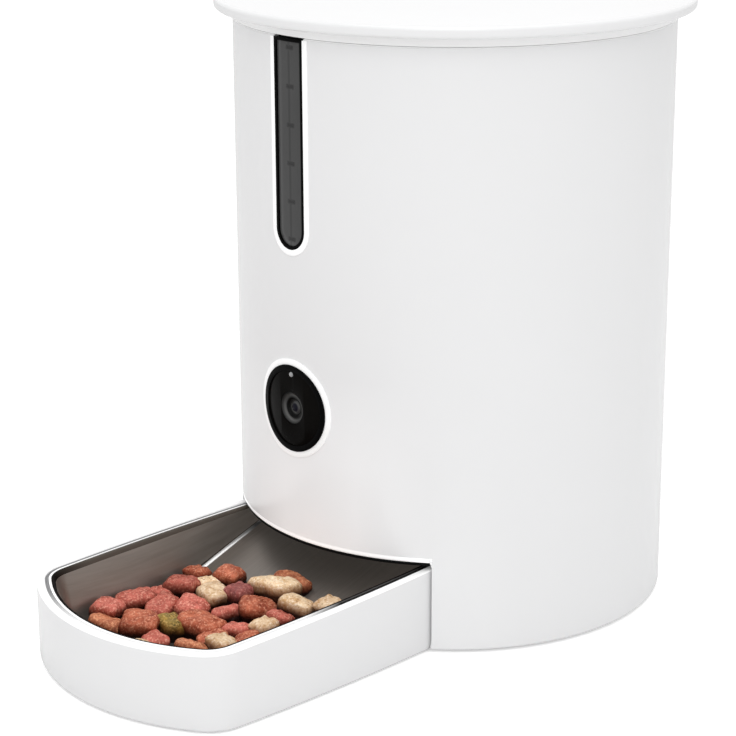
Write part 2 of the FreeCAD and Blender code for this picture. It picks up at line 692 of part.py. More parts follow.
def tray_opening(bottom, top):
    """The way in the body's foot that the tray slides through."""
    half = tray_side_x(-BODY_INSIDE * math.sin(math.radians(48))) + SLIDE_GAP
    return block(-half, half, -BODY_RADIUS - 20, -TRAY_BACK + SLIDE_GAP, bottom, top)


def outer_housing():
    ledge_inside = BODY_INSIDE - LEDGE_WIDTH
    ledge_bottom = DECK_HEIGHT - LEDGE_THICKNESS
    r, w, e = BODY_RADIUS, BODY_INSIDE, EDGE_ROUND
    profile = [(r, FOOT_HEIGHT + e), (r, BODY_TOP - e), (r - e, BODY_TOP), (w, BODY_TOP)]
    profile += [(w, DECK_HEIGHT), (ledge_inside, DECK_HEIGHT), (ledge_inside, ledge_bottom)]
    profile += [(w, ledge_bottom - LEDGE_WIDTH), (w, FOOT_HEIGHT), (r - e, FOOT_HEIGHT)]
    shell = turned(profile)
    additions = [boss(BASE_BOSS_CIRCLE, a, BASE_TOP, BASE_TOP + BASE_BOSS_HEIGHT) for a in BASE_BOSS_ANGLES]
    additions += [boss(DECK_BOSS_CIRCLE, a, DECK_HEIGHT - DECK_BOSS_HEIGHT, DECK_HEIGHT)
                  for a in DECK_BOSS_ANGLES]
    half_board = MAIN_BOARD_WIDTH / 2 - BOARD_POST_INSET
    for x in (-half_board, half_board):
        for z in (MAIN_BOARD_BOTTOM + BOARD_POST_INSET, MAIN_BOARD_TOP - BOARD_POST_INSET):
            wall_y = math.sqrt(BODY_INSIDE ** 2 - (abs(x) + BOARD_POST_RADIUS) ** 2)
            additions.append(along_y(BOARD_POST_RADIUS, MAIN_BOARD_BACK, wall_y + BODY_WALL, x, z))
    for x in (-CAMERA_POST_X, CAMERA_POST_X):
        wall_y = -math.sqrt(BODY_INSIDE ** 2 - (abs(x) - CAMERA_POST_RADIUS) ** 2)
        additions.append(along_y(CAMERA_POST_RADIUS, wall_y - 0.5, BRACKET_FACE, x, CAMERA_HEIGHT))
    shell = fuse_all([shell] + additions)
    cuts = [tray_opening(0, TRAY_OPENING_HEIGHT)]
    cuts.append(window_plate(0, BODY_INSIDE - 0.5, BODY_RADIUS + 1, BODY_TOP + 5))
    cuts.append(along_y(CAMERA_RADIUS - CAMERA_BEZEL_WIDTH, -BODY_RADIUS - 5, BRACKET_FACE, 0, CAMERA_HEIGHT))
    for x in (-CAMERA_POST_X, CAMERA_POST_X):
        grip = BRACKET_FACE - BRACKET_SCREW_GRIP
        cuts.append(along_y(SCREW_RADIUS + SCREW_GAP, grip, BRACKET_FACE + 1, x, CAMERA_HEIGHT))
    half_notch = CAMERA_NOTCH_HALF
    cuts.append(block(-half_notch, half_notch, -BODY_INSIDE + 0.6, -60, ledge_bottom - 8, DECK_HEIGHT + 1))
    for angle in BASE_BOSS_ANGLES:
        x, y = polar(BASE_BOSS_CIRCLE, angle)
        cuts.append(rod(SCREW_RADIUS + SCREW_GAP, BASE_TOP - 1, BASE_TOP + SCREW_LENGTH, x, y))
    for angle in DECK_BOSS_ANGLES:
        x, y = polar(DECK_BOSS_CIRCLE, angle)
        cuts.append(rod(SCREW_RADIUS + SCREW_GAP, DECK_HEIGHT - SCREW_LENGTH, DECK_HEIGHT + 1, x, y))
    cuts.append(along_y(INLET_RADIUS, BODY_INSIDE - 9, BODY_RADIUS + 5, 0, INLET_HEIGHT))
    button_hole = BUTTON_RADIUS + LOOSE_GAP
    cuts.append(along_y(button_hole, MAIN_BOARD_BACK, BODY_RADIUS + 5, BUTTON_OFFSET, INLET_HEIGHT))
    return shell.cut(cuts).removeSplitter()


# Deck, chute and drive
def drive_deck():
    plate = rod(BODY_INSIDE - LOOSE_GAP, DECK_HEIGHT, DECK_TOP)
    collar_inside = ROTOR_CHAMBER + HOPPER_WALL + SLIDE_GAP
    collar = tube(collar_inside + DECK_COLLAR_WALL, collar_inside, DECK_TOP, DECK_TOP + DECK_COLLAR_HEIGHT)
    deck = plate.fuse(collar)
    half_notch = CAMERA_NOTCH_HALF
    cuts = [sector(OUTLET_INNER, OUTLET_OUTER, OUTLET_HALF_ANGLE, DECK_HEIGHT - 1, DECK_TOP + 1)]
    cuts.append(rod(OUTPUT_SHAFT_RADIUS + RUNNING_GAP, DECK_HEIGHT - 1, DECK_TOP + 1))
    cuts.append(block(-half_notch, half_notch, -BODY_RADIUS, BRACKET_FACE + 4, DECK_HEIGHT - 1, DECK_TOP + 1))
    for angle in DECK_BOSS_ANGLES:
        x, y = polar(DECK_BOSS_CIRCLE, angle)
        cuts.append(rod(SCREW_RADIUS + SCREW_GAP, DECK_HEIGHT - 1, DECK_TOP + 1, x, y))
    return deck.cut(cuts + gearbox_screw_holes()).removeSplitter()


def screw(x, y, seat, direction):
    """A screw whose head sits on a seat height; direction is the way the shank points."""
    sign = 1 if direction > 0 else -1
    crown = SCREW_HEAD - SCREW_CROWN
    head = [(0, 0), (SCREW_HEAD, 0), (SCREW_HEAD, SCREW_HEAD_RIM), (crown, SCREW_HEAD_HEIGHT)]
    head += [(0, SCREW_HEAD_HEIGHT)]
    solid = turned(head).fuse(rod(SCREW_RADIUS, -SCREW_LENGTH, 0.0))
    if sign > 0:
        solid.rotate(V(0, 0, 0), V(1, 0, 0), 180)
    solid.translate(V(x, y, seat))
    return solid.removeSplitter()


def deck_screws():
    places = [polar(DECK_BOSS_CIRCLE, a) for a in DECK_BOSS_ANGLES]
    return Part.makeCompound([screw(x, y, DECK_TOP, -1) for x, y in places])


def base_screws():
    places = [polar(BASE_BOSS_CIRCLE, a) for a in BASE_BOSS_ANGLES]
    return Part.makeCompound([screw(x, y, BASE_BOTTOM + BASE_SCREW_SINK, 1) for x, y in places])


def chute_space(grow, bottom, top):
    """The slanting way from the deck to the bowl, or its outside when grown."""
    half = CHUTE_TOP_HALF + grow
    upper = rounded_rectangle(-half, half, -OUTLET_OUTER - grow, -CHUTE_TOP_BACK + grow, 4 + grow, top)
    low_half = CHUTE_MOUTH_HALF + grow
    lower = rounded_rectangle(-low_half, low_half, -CHUTE_MOUTH_FRONT - grow, -CHUTE_MOUTH_BACK + grow,
                              4 + grow, bottom)
    return Part.makeLoft([lower, upper], True, True)


def outlet_chute():
    top = DECK_HEIGHT
    outside = chute_space(CHUTE_WALL, CHUTE_MOUTH_HEIGHT, top)
    half = CHUTE_TOP_HALF + CHUTE_WALL + CHUTE_FLANGE
    flange = block(-half, half, -OUTLET_OUTER - CHUTE_WALL - 2, -CHUTE_TOP_BACK + CHUTE_WALL, top - 2.4, top)
    inside = chute_space(0, CHUTE_MOUTH_HEIGHT, top)
    return outside.fuse(flange).cut(inside).removeSplitter()


def food_sensor():
    """A light beam pair, one half on each side of the chute."""
    z = (DECK_HEIGHT + CHUTE_MOUTH_HEIGHT) / 2
    half = (CHUTE_TOP_HALF + CHUTE_MOUTH_HALF) / 2 + CHUTE_WALL
    y = -(OUTLET_OUTER + CHUTE_TOP_BACK + CHUTE_MOUTH_FRONT + CHUTE_MOUTH_BACK) / 4
    halves = []
    for side in (-1, 1):
        box = block(0, 6, y - 5, y + 5, z - 5, z + 5)
        if side < 0:
            box.translate(V(-half - 6 - 0.4, 0, 0))
        else:
            box.translate(V(half + 0.4, 0, 0))
        halves.append(box)
    return Part.makeCompound(halves)


GEARBOX_FRONT_RADIUS = OUTPUT_PITCH + TOOTH_TIP * MODULE + GEAR_CLEAR
GEARBOX_LUG_X = GEARBOX_FRONT_RADIUS + GEARBOX_WALL + GEARBOX_LUG_OFFSET
GEARBOX_LUG_PLACES = (-GEARBOX_LUG_X, GEARBOX_LUG_X)
GEARBOX_LUG_BOTTOM = DECK_HEIGHT + GEARBOX_SCREW_GRIP - SCREW_LENGTH


def gearbox_screw_holes():
    top = DECK_HEIGHT + GEARBOX_SCREW_GRIP
    return [rod(SCREW_RADIUS + SCREW_GAP, GEARBOX_LUG_BOTTOM - 1, top, x, GEARBOX_LUG_Y)
            for x in GEARBOX_LUG_PLACES]


def gearbox_screws():
    """Driven up through the gearbox lugs into the deck."""
    return Part.makeCompound([screw(x, GEARBOX_LUG_Y, GEARBOX_LUG_BOTTOM, 1) for x in GEARBOX_LUG_PLACES])


def gearbox_case():
    outer = belt(0, GEARBOX_FRONT_RADIUS + GEARBOX_WALL, MOTOR_Y, GEARBOX_BACK_RADIUS + GEARBOX_WALL,
                 GEARBOX_BOTTOM, GEARBOX_TOP - GEARBOX_COVER)
    inner = belt(0, GEARBOX_FRONT_RADIUS, MOTOR_Y, GEARBOX_BACK_RADIUS, GEARBOX_INSIDE, GEARBOX_TOP)
    lugs = [rod(BOSS_RADIUS, GEARBOX_LUG_BOTTOM, GEARBOX_TOP - GEARBOX_COVER, x, GEARBOX_LUG_Y)
            for x in GEARBOX_LUG_PLACES]
    case = outer.multiFuse(lugs).cut(inner)
    case = case.fuse(tube(OUTPUT_SHAFT_RADIUS + 2, OUTPUT_SHAFT_RADIUS + RUNNING_GAP, GEARBOX_INSIDE,
                          LOWER_GEAR + GEAR_WIDTH))
    cuts = [rod(MOTOR_SHAFT_RADIUS + 1.5, GEARBOX_BOTTOM - 1, GEARBOX_INSIDE + 1, 0, MOTOR_Y)]
    cuts.append(rod(IDLER_PIN_RADIUS, GEARBOX_INSIDE - IDLER_PIN_SINK, GEARBOX_INSIDE + 1, 0, IDLER_Y))
    for x in MOTOR_SCREW_PLACES:
        cuts.append(rod(SCREW_RADIUS + SCREW_GAP, GEARBOX_BOTTOM - 1, GEARBOX_INSIDE + 1, x, MOTOR_Y))
        cuts.append(rod(SCREW_HEAD + SCREW_HEAD_GAP, MOTOR_SCREW_SEAT, GEARBOX_INSIDE + 1, x, MOTOR_Y))
    return case.cut(cuts + gearbox_screw_holes()).removeSplitter()


def gearbox_cover():
    bottom = GEARBOX_TOP - GEARBOX_COVER
    cover = belt(0, GEARBOX_FRONT_RADIUS + GEARBOX_WALL, MOTOR_Y, GEARBOX_BACK_RADIUS + GEARBOX_WALL,
                 bottom, GEARBOX_TOP)
    lugs = [rod(BOSS_RADIUS, bottom, GEARBOX_TOP, x, GEARBOX_LUG_Y) for x in GEARBOX_LUG_PLACES]
    cuts = [rod(OUTPUT_SHAFT_RADIUS + RUNNING_GAP, bottom - 1, GEARBOX_TOP + 1)]
    cuts.append(rod(IDLER_PIN_RADIUS, bottom - 1, bottom + IDLER_PIN_SINK, 0, IDLER_Y))
    return cover.multiFuse(lugs).cut(cuts + gearbox_screw_holes()).removeSplitter()


def idler_pin():
    top = GEARBOX_TOP - GEARBOX_COVER + IDLER_PIN_SINK
    return rod(IDLER_PIN_RADIUS, GEARBOX_INSIDE - IDLER_PIN_SINK, top, 0, IDLER_Y)


def gear(teeth, bottom, top, turn):
    """A spur gear about the Z axis with involute flanks drawn as arcs."""
    pitch = MODULE * teeth / 2
    base = pitch * math.cos(math.radians(PRESSURE_ANGLE))
    tip, root = pitch + TOOTH_TIP * MODULE, pitch - TOOTH_ROOT * MODULE
    pressure = math.radians(PRESSURE_ANGLE)
    half_tooth = math.pi / (2 * teeth) - TOOTH_THIN / pitch + math.tan(pressure) - pressure

    def flank(radius):
        lean = math.acos(min(1.0, base / radius))
        return half_tooth - (math.tan(lean) - lean)

    def point(radius, angle):
        return V(radius * math.cos(angle), radius * math.sin(angle), bottom)

    start = max(root, base)
    middle = (start + tip) / 2
    edges = []
    for i in range(teeth):
        axis = math.radians(turn) + 2 * math.pi * i / teeth
        next_axis = axis + 2 * math.pi / teeth
        low_root, low = point(root, axis - flank(start)), point(start, axis - flank(start))
        low_tip, high_tip = point(tip, axis - flank(tip)), point(tip, axis + flank(tip))
        high, high_root = point(start, axis + flank(start)), point(root, axis + flank(start))
        next_root = point(root, next_axis - flank(start))
        if base > root:
            edges.append(Part.makeLine(low_root, low))
        edges.append(Part.Arc(low, point(middle, axis - flank(middle)), low_tip).toShape())
        edges.append(Part.makeLine(low_tip, high_tip))
        edges.append(Part.Arc(high_tip, point(middle, axis + flank(middle)), high).toShape())
        if base > root:
            edges.append(Part.makeLine(high, high_root))
        edges.append(Part.makeLine(high_root, next_root))
    return Part.Face(Part.Wire(edges)).extrude(V(0, 0, top - bottom))


def hex_rod(across, bottom, top):
    radius = across / math.sqrt(3)
    corners = [V(*polar(radius, 60 * i), bottom) for i in range(7)]
    return Part.Face(Part.makePolygon(corners)).extrude(V(0, 0, top - bottom))


OUTPUT_SHAFT_TOP = HOPPER_FLOOR + 14.0


def output_gear():
    """Output wheel and shaft, with the hexagon that drives the rotor."""
    wheel = gear(OUTPUT_TEETH, UPPER_GEAR, GEAR_TOP, 90)
    web_top = UPPER_GEAR + GEAR_WEB_THICKNESS
    web = tube(OUTPUT_PITCH - GEAR_RIM, OUTPUT_SHAFT_RADIUS + 2.5, web_top, GEAR_TOP + 1)
    shaft = rod(OUTPUT_SHAFT_RADIUS, GEARBOX_INSIDE + LOOSE_GAP, HOPPER_FLOOR)
    key = hex_rod(HEX_ACROSS, HOPPER_FLOOR, OUTPUT_SHAFT_TOP)
    key = key.common(rod(HEX_ACROSS / 2 + 0.5, HOPPER_FLOOR, OUTPUT_SHAFT_TOP))
    return fuse_all([wheel.cut(web), shaft, key])


def idler_gear():
    turn = 270 + 180.0 / IDLER_PINION_TEETH
    pinion = gear(IDLER_PINION_TEETH, LOWER_GEAR + GEAR_WIDTH, GEAR_TOP, turn)
    wheel = gear(IDLER_WHEEL_TEETH, LOWER_GEAR, LOWER_GEAR + GEAR_WIDTH, 90)
    web_bottom = LOWER_GEAR + GEAR_WIDTH - GEAR_WEB_THICKNESS
    web = tube(IDLER_WHEEL_PITCH - GEAR_RIM, IDLER_PINION_PITCH + 3, LOWER_GEAR - 1, web_bottom)
    solid = wheel.cut(web).fuse(pinion)
    solid = solid.cut(rod(IDLER_PIN_RADIUS + RUNNING_GAP, GEARBOX_BOTTOM, GEARBOX_TOP))
    solid.translate(V(0, IDLER_Y, 0))
    return solid.removeSplitter()


def motor_pinion():
    turn = 270 + 180.0 / MOTOR_PINION_TEETH
    pinion = gear(MOTOR_PINION_TEETH, LOWER_GEAR, LOWER_GEAR + GEAR_WIDTH, turn)
    shaft = rod(MOTOR_SHAFT_RADIUS, GEARBOX_BOTTOM - MOTOR_SHAFT_GRIP, LOWER_GEAR + 1)
    solid = pinion.fuse(shaft)
    solid.translate(V(0, MOTOR_Y, 0))
    return solid.removeSplitter()


def drive_motor():
    """A small motor with a round gearhead at its upper end."""
    top = GEARBOX_BOTTOM
    neck = top - MOTOR_GEARHEAD
    tail = top - MOTOR_LENGTH
    head = rod(MOTOR_RADIUS, neck, top, 0, MOTOR_Y)
    can = rod(MOTOR_RADIUS - MOTOR_CAN_STEP, tail + 2, neck, 0, MOTOR_Y)
    end = rod(MOTOR_RADIUS / 2, tail, tail + 2, 0, MOTOR_Y)
    shaft_end = top - MOTOR_SHAFT_GRIP - LOOSE_GAP
    cuts = [rod(MOTOR_SHAFT_RADIUS + RUNNING_GAP, shaft_end, top + 1, 0, MOTOR_Y)]
    cuts += [rod(SCREW_RADIUS + SCREW_GAP, MOTOR_SCREW_SEAT - SCREW_LENGTH, top + 1, x, MOTOR_Y)
             for x in MOTOR_SCREW_PLACES]
    return fuse_all([head, can, end]).cut(cuts)


def motor_screws():
    return Part.makeCompound([screw(x, MOTOR_Y, MOTOR_SCREW_SEAT, -1) for x in MOTOR_SCREW_PLACES])


def motor_leads():
    """Two-core lead from the motor's rear end to the main board."""
    z = GEARBOX_BOTTOM - MOTOR_LENGTH
    end_y = MAIN_BOARD_BACK - BOARD_THICKNESS
    route = [(0, MOTOR_Y, z), (0, MOTOR_Y, z - 9), (20, MOTOR_Y + 6, z - 9), (24, end_y - 8, z - 9)]
    route.append((24, end_y, z - 9))
    return cable(route, CABLE_RADIUS, CABLE_BEND)


# Hopper
def food_hopper():
    """The tank: a round wall with a rim and two finger tabs, and a funnel with a skirt."""
    r, w, c = HOPPER_RADIUS, HOPPER_WALL, ROTOR_CHAMBER
    skirt_inside = c + w + RUNNING_GAP
    skirt = skirt_inside + SKIRT_WALL
    slope = (FUNNEL_TOP - CHAMBER_TOP) / (r - c)
    skirt_meets = CHAMBER_TOP + (skirt - c - w) * slope
    profile = [(c, CHAMBER_TOP), (skirt_inside, CHAMBER_TOP), (skirt_inside, CHAMBER_TOP - SKIRT_DEPTH)]
    profile += [(skirt, CHAMBER_TOP - SKIRT_DEPTH), (skirt, skirt_meets), (r + w, FUNNEL_TOP)]
    rim = r + w + HOPPER_RIM
    profile += [(r + w, HOPPER_TOP - w), (rim, HOPPER_TOP - w), (rim, HOPPER_TOP)]
    profile += [(r, HOPPER_TOP), (r, FUNNEL_TOP)]
    tab = (r + w, rim, HOPPER_TAB_HALF_ANGLE, HOPPER_TOP - 1, HOPPER_TOP + HOPPER_TAB_HEIGHT)
    tabs = [sector(*tab, middle) for middle in (0.0, 180.0)]
    return fuse_all([turned(profile)] + tabs)


def rotor_chamber():
    """The round pan under the tank, with the outlet in its floor."""
    c, w = ROTOR_CHAMBER, HOPPER_WALL
    profile = [(0, HOPPER_BOTTOM), (c + w, HOPPER_BOTTOM), (c + w, CHAMBER_TOP), (c, CHAMBER_TOP)]
    profile += [(c, HOPPER_FLOOR), (0, HOPPER_FLOOR)]
    outlet = sector(OUTLET_INNER, OUTLET_OUTER, OUTLET_HALF_ANGLE, HOPPER_BOTTOM - 1, HOPPER_FLOOR + 1)
    shaft_hole = rod(OUTPUT_SHAFT_RADIUS + 2, HOPPER_BOTTOM - 1, HOPPER_FLOOR + 1)
    return turned(profile).cut([outlet, shaft_hole])


BAFFLE_BOTTOM = ROTOR_TOP + LOOSE_GAP + FLAP_DEPTH


def outlet_baffle():
    """A roof over the outlet, so that only the rotor's pockets feed it."""
    roof_top = BAFFLE_BOTTOM + BAFFLE_THICKNESS
    roof = sector(ROTOR_HUB + 4, ROTOR_CHAMBER, BAFFLE_HALF_ANGLE, BAFFLE_BOTTOM, roof_top)
    rib = sector(ROTOR_CHAMBER - 3, ROTOR_CHAMBER, BAFFLE_HALF_ANGLE, BAFFLE_BOTTOM, CHAMBER_TOP)
    ridge = sector(ROTOR_HUB + 8, ROTOR_CHAMBER, BAFFLE_TILT, BAFFLE_BOTTOM, CHAMBER_TOP + 3)
    inside_funnel = rod(ROTOR_CHAMBER, BAFFLE_BOTTOM, CHAMBER_TOP + 4)
    return fuse_all([roof, rib, ridge.common(inside_funnel)])


def wiper_flap():
    """Soft strips at both edges of the baffle that level each pocket."""
    low, high = ROTOR_TOP + LOOSE_GAP, BAFFLE_BOTTOM
    turn = BAFFLE_HALF_ANGLE - 2 * FLAP_HALF_ANGLE
    strips = [sector(ROTOR_HUB + 6, ROTOR_CHAMBER - 3, FLAP_HALF_ANGLE, low, high, middle)
              for middle in (-90 - turn, -90 + turn)]
    return Part.makeCompound(strips)


# Rotor
def portion_rotor():
    hub = rod(ROTOR_HUB, ROTOR_BOTTOM, ROTOR_TOP)
    reach = ROTOR_CHAMBER - PADDLE_TIP_GAP
    parts = [hub]
    for i in range(ROTOR_PADDLES):
        paddle = block(0, reach, -PADDLE_THICKNESS / 2, PADDLE_THICKNESS / 2, ROTOR_BOTTOM, ROTOR_TOP)
        paddle.rotate(V(0, 0, 0), UP, 360.0 * i / ROTOR_PADDLES)
        parts.append(paddle)
    solid = fuse_all(parts)
    solid = solid.common(rod(reach, ROTOR_BOTTOM, ROTOR_TOP))
    socket = hex_rod(HEX_ACROSS + 2 * LOOSE_GAP, ROTOR_BOTTOM - 1, OUTPUT_SHAFT_TOP + LOOSE_GAP)
    return solid.cut(socket)


def rotor_cap():
    """A blunt cone on the hub that keeps food from bridging over it."""
    profile = [(0, ROTOR_TOP), (ROTOR_HUB, ROTOR_TOP), (ROTOR_HUB, ROTOR_TOP + 1.0)]
    profile += [(ROTOR_HUB - 3, ROTOR_TOP + 6), (ROTOR_HUB - 8, ROTOR_TOP + 10), (0, ROTOR_TOP + 12)]
    return turned(profile)


# Lid
def lid_shell():
    r, e = LID_RADIUS, LID_EDGE_ROUND
    ring_inside = BODY_INSIDE + LID_RING_STEP
    profile = [V(0, 0, LID_UNDERSIDE), V(ring_inside, 0, LID_UNDERSIDE), V(ring_inside, 0, LID_RING_BOTTOM)]
    profile += [V(BODY_RADIUS, 0, LID_RING_BOTTOM), V(BODY_RADIUS, 0, LID_FLANGE_BOTTOM)]
    profile += [V(r - e, 0, LID_FLANGE_BOTTOM)]
    bend = e * (1 - math.sqrt(0.5))
    edges = [Part.makeLine(a, b) for a, b in zip(profile, profile[1:])]
    edges.append(Part.Arc(profile[-1], V(r - bend, 0, LID_FLANGE_BOTTOM + bend),
                          V(r, 0, LID_FLANGE_BOTTOM + e)).toShape())
    edges.append(Part.makeLine(V(r, 0, LID_FLANGE_BOTTOM + e), V(r, 0, LID_TOP - e)))
    crest = V(r - bend, 0, LID_TOP - bend)
    edges.append(Part.Arc(V(r, 0, LID_TOP - e), crest, V(r - e, 0, LID_TOP)).toShape())
    edges.append(Part.makeLine(V(r - e, 0, LID_TOP), V(0, 0, LID_TOP)))
    edges.append(Part.makeLine(V(0, 0, LID_TOP), V(0, 0, LID_UNDERSIDE)))
    return Part.Face(Part.Wire(edges)).revolve(V(0, 0, 0), UP, 360)


def lid_liner():
    r, w = LINER_RADIUS, LINER_WALL
    profile = [(DESICCANT_RADIUS, LINER_BOTTOM), (r, LINER_BOTTOM), (r, LID_UNDERSIDE)]
    profile += [(r - w, LID_UNDERSIDE), (r - w, LINER_BOTTOM + w), (DESICCANT_RADIUS, LINER_BOTTOM + w)]
    return turned(profile)


def lid_seal():
    """A soft ring round the liner with two lips towards the hopper wall."""
    base = LINER_RADIUS + SEAL_BODY
    lip = HOPPER_RADIUS - LOOSE_GAP
    z0, z1, t = SEAL_BOTTOM, SEAL_BOTTOM + SEAL_HEIGHT, SEAL_LIP
    profile = [(LINER_RADIUS, z0), (base, z0), (lip, z0 + t / 2), (lip, z0 + t), (base, z0 + 2 * t)]
    profile += [(base, z1 - 2 * t), (lip, z1 - t), (lip, z1 - t / 2), (base, z1), (LINER_RADIUS, z1)]
    return turned(profile)


def desiccant_box():
    r, w = DESICCANT_RADIUS, DESICCANT_WALL
    top = LINER_BOTTOM + DESICCANT_DEPTH
    seat = LINER_BOTTOM + LINER_WALL
    profile = [(r - w, seat), (r - w, top - w), (0, top - w), (0, top), (r, top), (r, seat + w)]
    rim = r + DESICCANT_RIM
    profile += [(rim, seat + w), (rim, seat)]
    return turned(profile)


def desiccant_cover():
    """A round cover with curved slots that snaps into the liner."""
    disc = rod(DESICCANT_RADIUS - LOOSE_GAP, LINER_BOTTOM, LINER_BOTTOM + LINER_WALL - LOOSE_GAP)
    slots = []
    half = DESICCANT_SLOT_HALF
    for radius in DESICCANT_SLOT_RADII:
        for middle in (0.0, 90.0, 180.0, 270.0):
            slots.append(sector(radius - half, radius + half, 34, LINER_BOTTOM - 1, LINER_BOTTOM + 5, middle))
    return disc.cut(slots)


# Base and electronics
def base_plate():
    plate = rod(BODY_INSIDE - LOOSE_GAP, BASE_BOTTOM, BASE_TOP)
    cuts = [tray_opening(0, BASE_TOP + 1)]
    for angle in BASE_BOSS_ANGLES:
        x, y = polar(BASE_BOSS_CIRCLE, angle)
        cuts.append(rod(SCREW_RADIUS + SCREW_GAP, 0, BASE_TOP + 1, x, y))
        cuts.append(rod(SCREW_HEAD + SCREW_HEAD_GAP, 0, BASE_BOTTOM + BASE_SCREW_SINK, x, y))
    x0, y0 = SPEAKER_PLACE
    for i in range(-2, 3):
        for j in range(-2, 3):
            if i * i + j * j <= 5:
                cuts.append(rod(GRILLE_HOLE, 0, BASE_TOP + 1, x0 + i * GRILLE_PITCH, y0 + j * GRILLE_PITCH))
    plate = plate.cut(cuts)
    stop_y = -TRAY_BACK + SLIDE_GAP
    half = TRAY_PIN_SPACING / 2 + TRAY_STOP_MARGIN
    stop_top = TRAY_PIN_HEIGHT + TRAY_STOP_MARGIN
    stop = block(-half, half, stop_y, stop_y + TRAY_STOP_THICKNESS, BASE_TOP - 1, stop_top)
    pins = [along_y(TRAY_PIN_RADIUS, stop_y - SLIDE_GAP - TRAY_PIN_LENGTH, stop_y, x, TRAY_PIN_HEIGHT)
            for x in (-TRAY_PIN_SPACING / 2, TRAY_PIN_SPACING / 2)]
    return fuse_all([plate, stop] + pins)


def rubber_feet():
    return Part.makeCompound([rod(FOOT_RADIUS, 0, BASE_BOTTOM, x, y) for x, y in FOOT_PLACES])


def main_board():
    half = MAIN_BOARD_WIDTH / 2
    front = MAIN_BOARD_BACK - BOARD_THICKNESS
    board = block(-half, half, front, MAIN_BOARD_BACK, MAIN_BOARD_BOTTOM, MAIN_BOARD_TOP)
    radio_top = MAIN_BOARD_TOP - BOARD_POST_INSET
    radio = block(-RADIO_WIDTH - 2, -2, front - RADIO_DEPTH, front, radio_top - RADIO_HEIGHT, radio_top)
    chip_bottom = radio_top - RADIO_HEIGHT
    chip = block(6, 6 + CHIP_SIDE, front - CHIP_DEPTH, front, chip_bottom, chip_bottom + CHIP_SIDE)
    coil_side = BOARD_POST_INSET * 2 - half
    coil = block(coil_side, coil_side + COIL_SIDE, front - COIL_DEPTH, front, INLET_HEIGHT + 6,
                 INLET_HEIGHT + 6 + COIL_SIDE)
    capacitor = along_y(CAPACITOR_RADIUS, front - CAPACITOR_LENGTH, front, coil_side + 2 * COIL_SIDE,
                        INLET_HEIGHT + 6 + CAPACITOR_RADIUS)
    board = fuse_all([board, radio, chip, coil, capacitor])
    inset = BOARD_POST_INSET
    for x in (-half + inset, half - inset):
        for z in (MAIN_BOARD_BOTTOM + inset, MAIN_BOARD_TOP - inset):
            board = board.cut(along_y(SCREW_RADIUS + SCREW_GAP, front - 1, MAIN_BOARD_BACK + 1, x, z))
    return board


def board_screws():
    front = MAIN_BOARD_BACK - BOARD_THICKNESS
    half = MAIN_BOARD_WIDTH / 2 - BOARD_POST_INSET
    heads = []
    for x in (-half, half):
        for z in (MAIN_BOARD_BOTTOM + BOARD_POST_INSET, MAIN_BOARD_TOP - BOARD_POST_INSET):
            head = along_y(SCREW_HEAD, front - 1.6, front, x, z)
            shank = along_y(SCREW_RADIUS, front, MAIN_BOARD_BACK, x, z)
            heads.append(head.fuse(shank).removeSplitter())
    return Part.makeCompound(heads)


def power_inlet():
    """A round power socket on the main board, with its mouth in the rear wall."""
    half = INLET_HALF_WIDTH
    mouth = BODY_RADIUS - INLET_RECESS
    shoulder = BODY_INSIDE - BODY_WALL
    body = block(-half, half, MAIN_BOARD_BACK, shoulder, INLET_HEIGHT - half - 1, INLET_HEIGHT + half + 1)
    collar = along_y(INLET_RADIUS - SCREW_HEAD_GAP / 2, shoulder, mouth, 0, INLET_HEIGHT)
    return body.fuse(collar).cut(along_y(INLET_BORE, mouth - INLET_BORE_DEPTH, mouth + 1, 0, INLET_HEIGHT))


BUTTON_WALL_Y = math.sqrt(BODY_RADIUS ** 2 - (BUTTON_OFFSET + BUTTON_RADIUS) ** 2)
BUTTON_FLANGE_BACK = math.sqrt(BODY_INSIDE ** 2 - (BUTTON_OFFSET + BUTTON_RADIUS + BUTTON_FLANGE) ** 2)


def reset_button():
    """A push button with a flange that keeps it behind the wall."""
    cap = along_y(BUTTON_RADIUS, BUTTON_FLANGE_BACK - 3, BUTTON_WALL_Y + BUTTON_TRAVEL + BUTTON_PROUD,
                  BUTTON_OFFSET, INLET_HEIGHT)
    flange = along_y(BUTTON_RADIUS + BUTTON_FLANGE, BUTTON_FLANGE_BACK - LOOSE_GAP - 1.5,
                     BUTTON_FLANGE_BACK - LOOSE_GAP, BUTTON_OFFSET, INLET_HEIGHT)
    stem_front = MAIN_BOARD_BACK + SWITCH_HEIGHT + SWITCH_PLUNGER + BUTTON_TRAVEL + LOOSE_GAP
    stem = along_y(BUTTON_STEM, stem_front, BUTTON_FLANGE_BACK - 2, BUTTON_OFFSET, INLET_HEIGHT)
    return fuse_all([cap, flange, stem])


def reset_switch():
    x, z = BUTTON_OFFSET, INLET_HEIGHT
    top = MAIN_BOARD_BACK + SWITCH_HEIGHT
    body = block(x - 3, x + 3, MAIN_BOARD_BACK, top, z - 3, z + 3)
    return body.fuse(along_y(BUTTON_STEM, top, top + SWITCH_PLUNGER, x, z)).removeSplitter()


def speaker():
    x, y = SPEAKER_PLACE
    r, z, h = SPEAKER_RADIUS, BASE_TOP, SPEAKER_HEIGHT
    back, magnet, depth = h - SPEAKER_MAGNET_HEIGHT, SPEAKER_MAGNET_RADIUS, SPEAKER_CONE_DEPTH
    profile = [(r - SPEAKER_LIP, 0), (r, 0), (r, SPEAKER_FRAME), (r - 2 * SPEAKER_LIP, back), (magnet, back)]
    profile += [(magnet, h), (0, h), (0, depth), (SPEAKER_CONE_RADIUS, depth)]
    return turned(profile, centre=V(x, y, z))


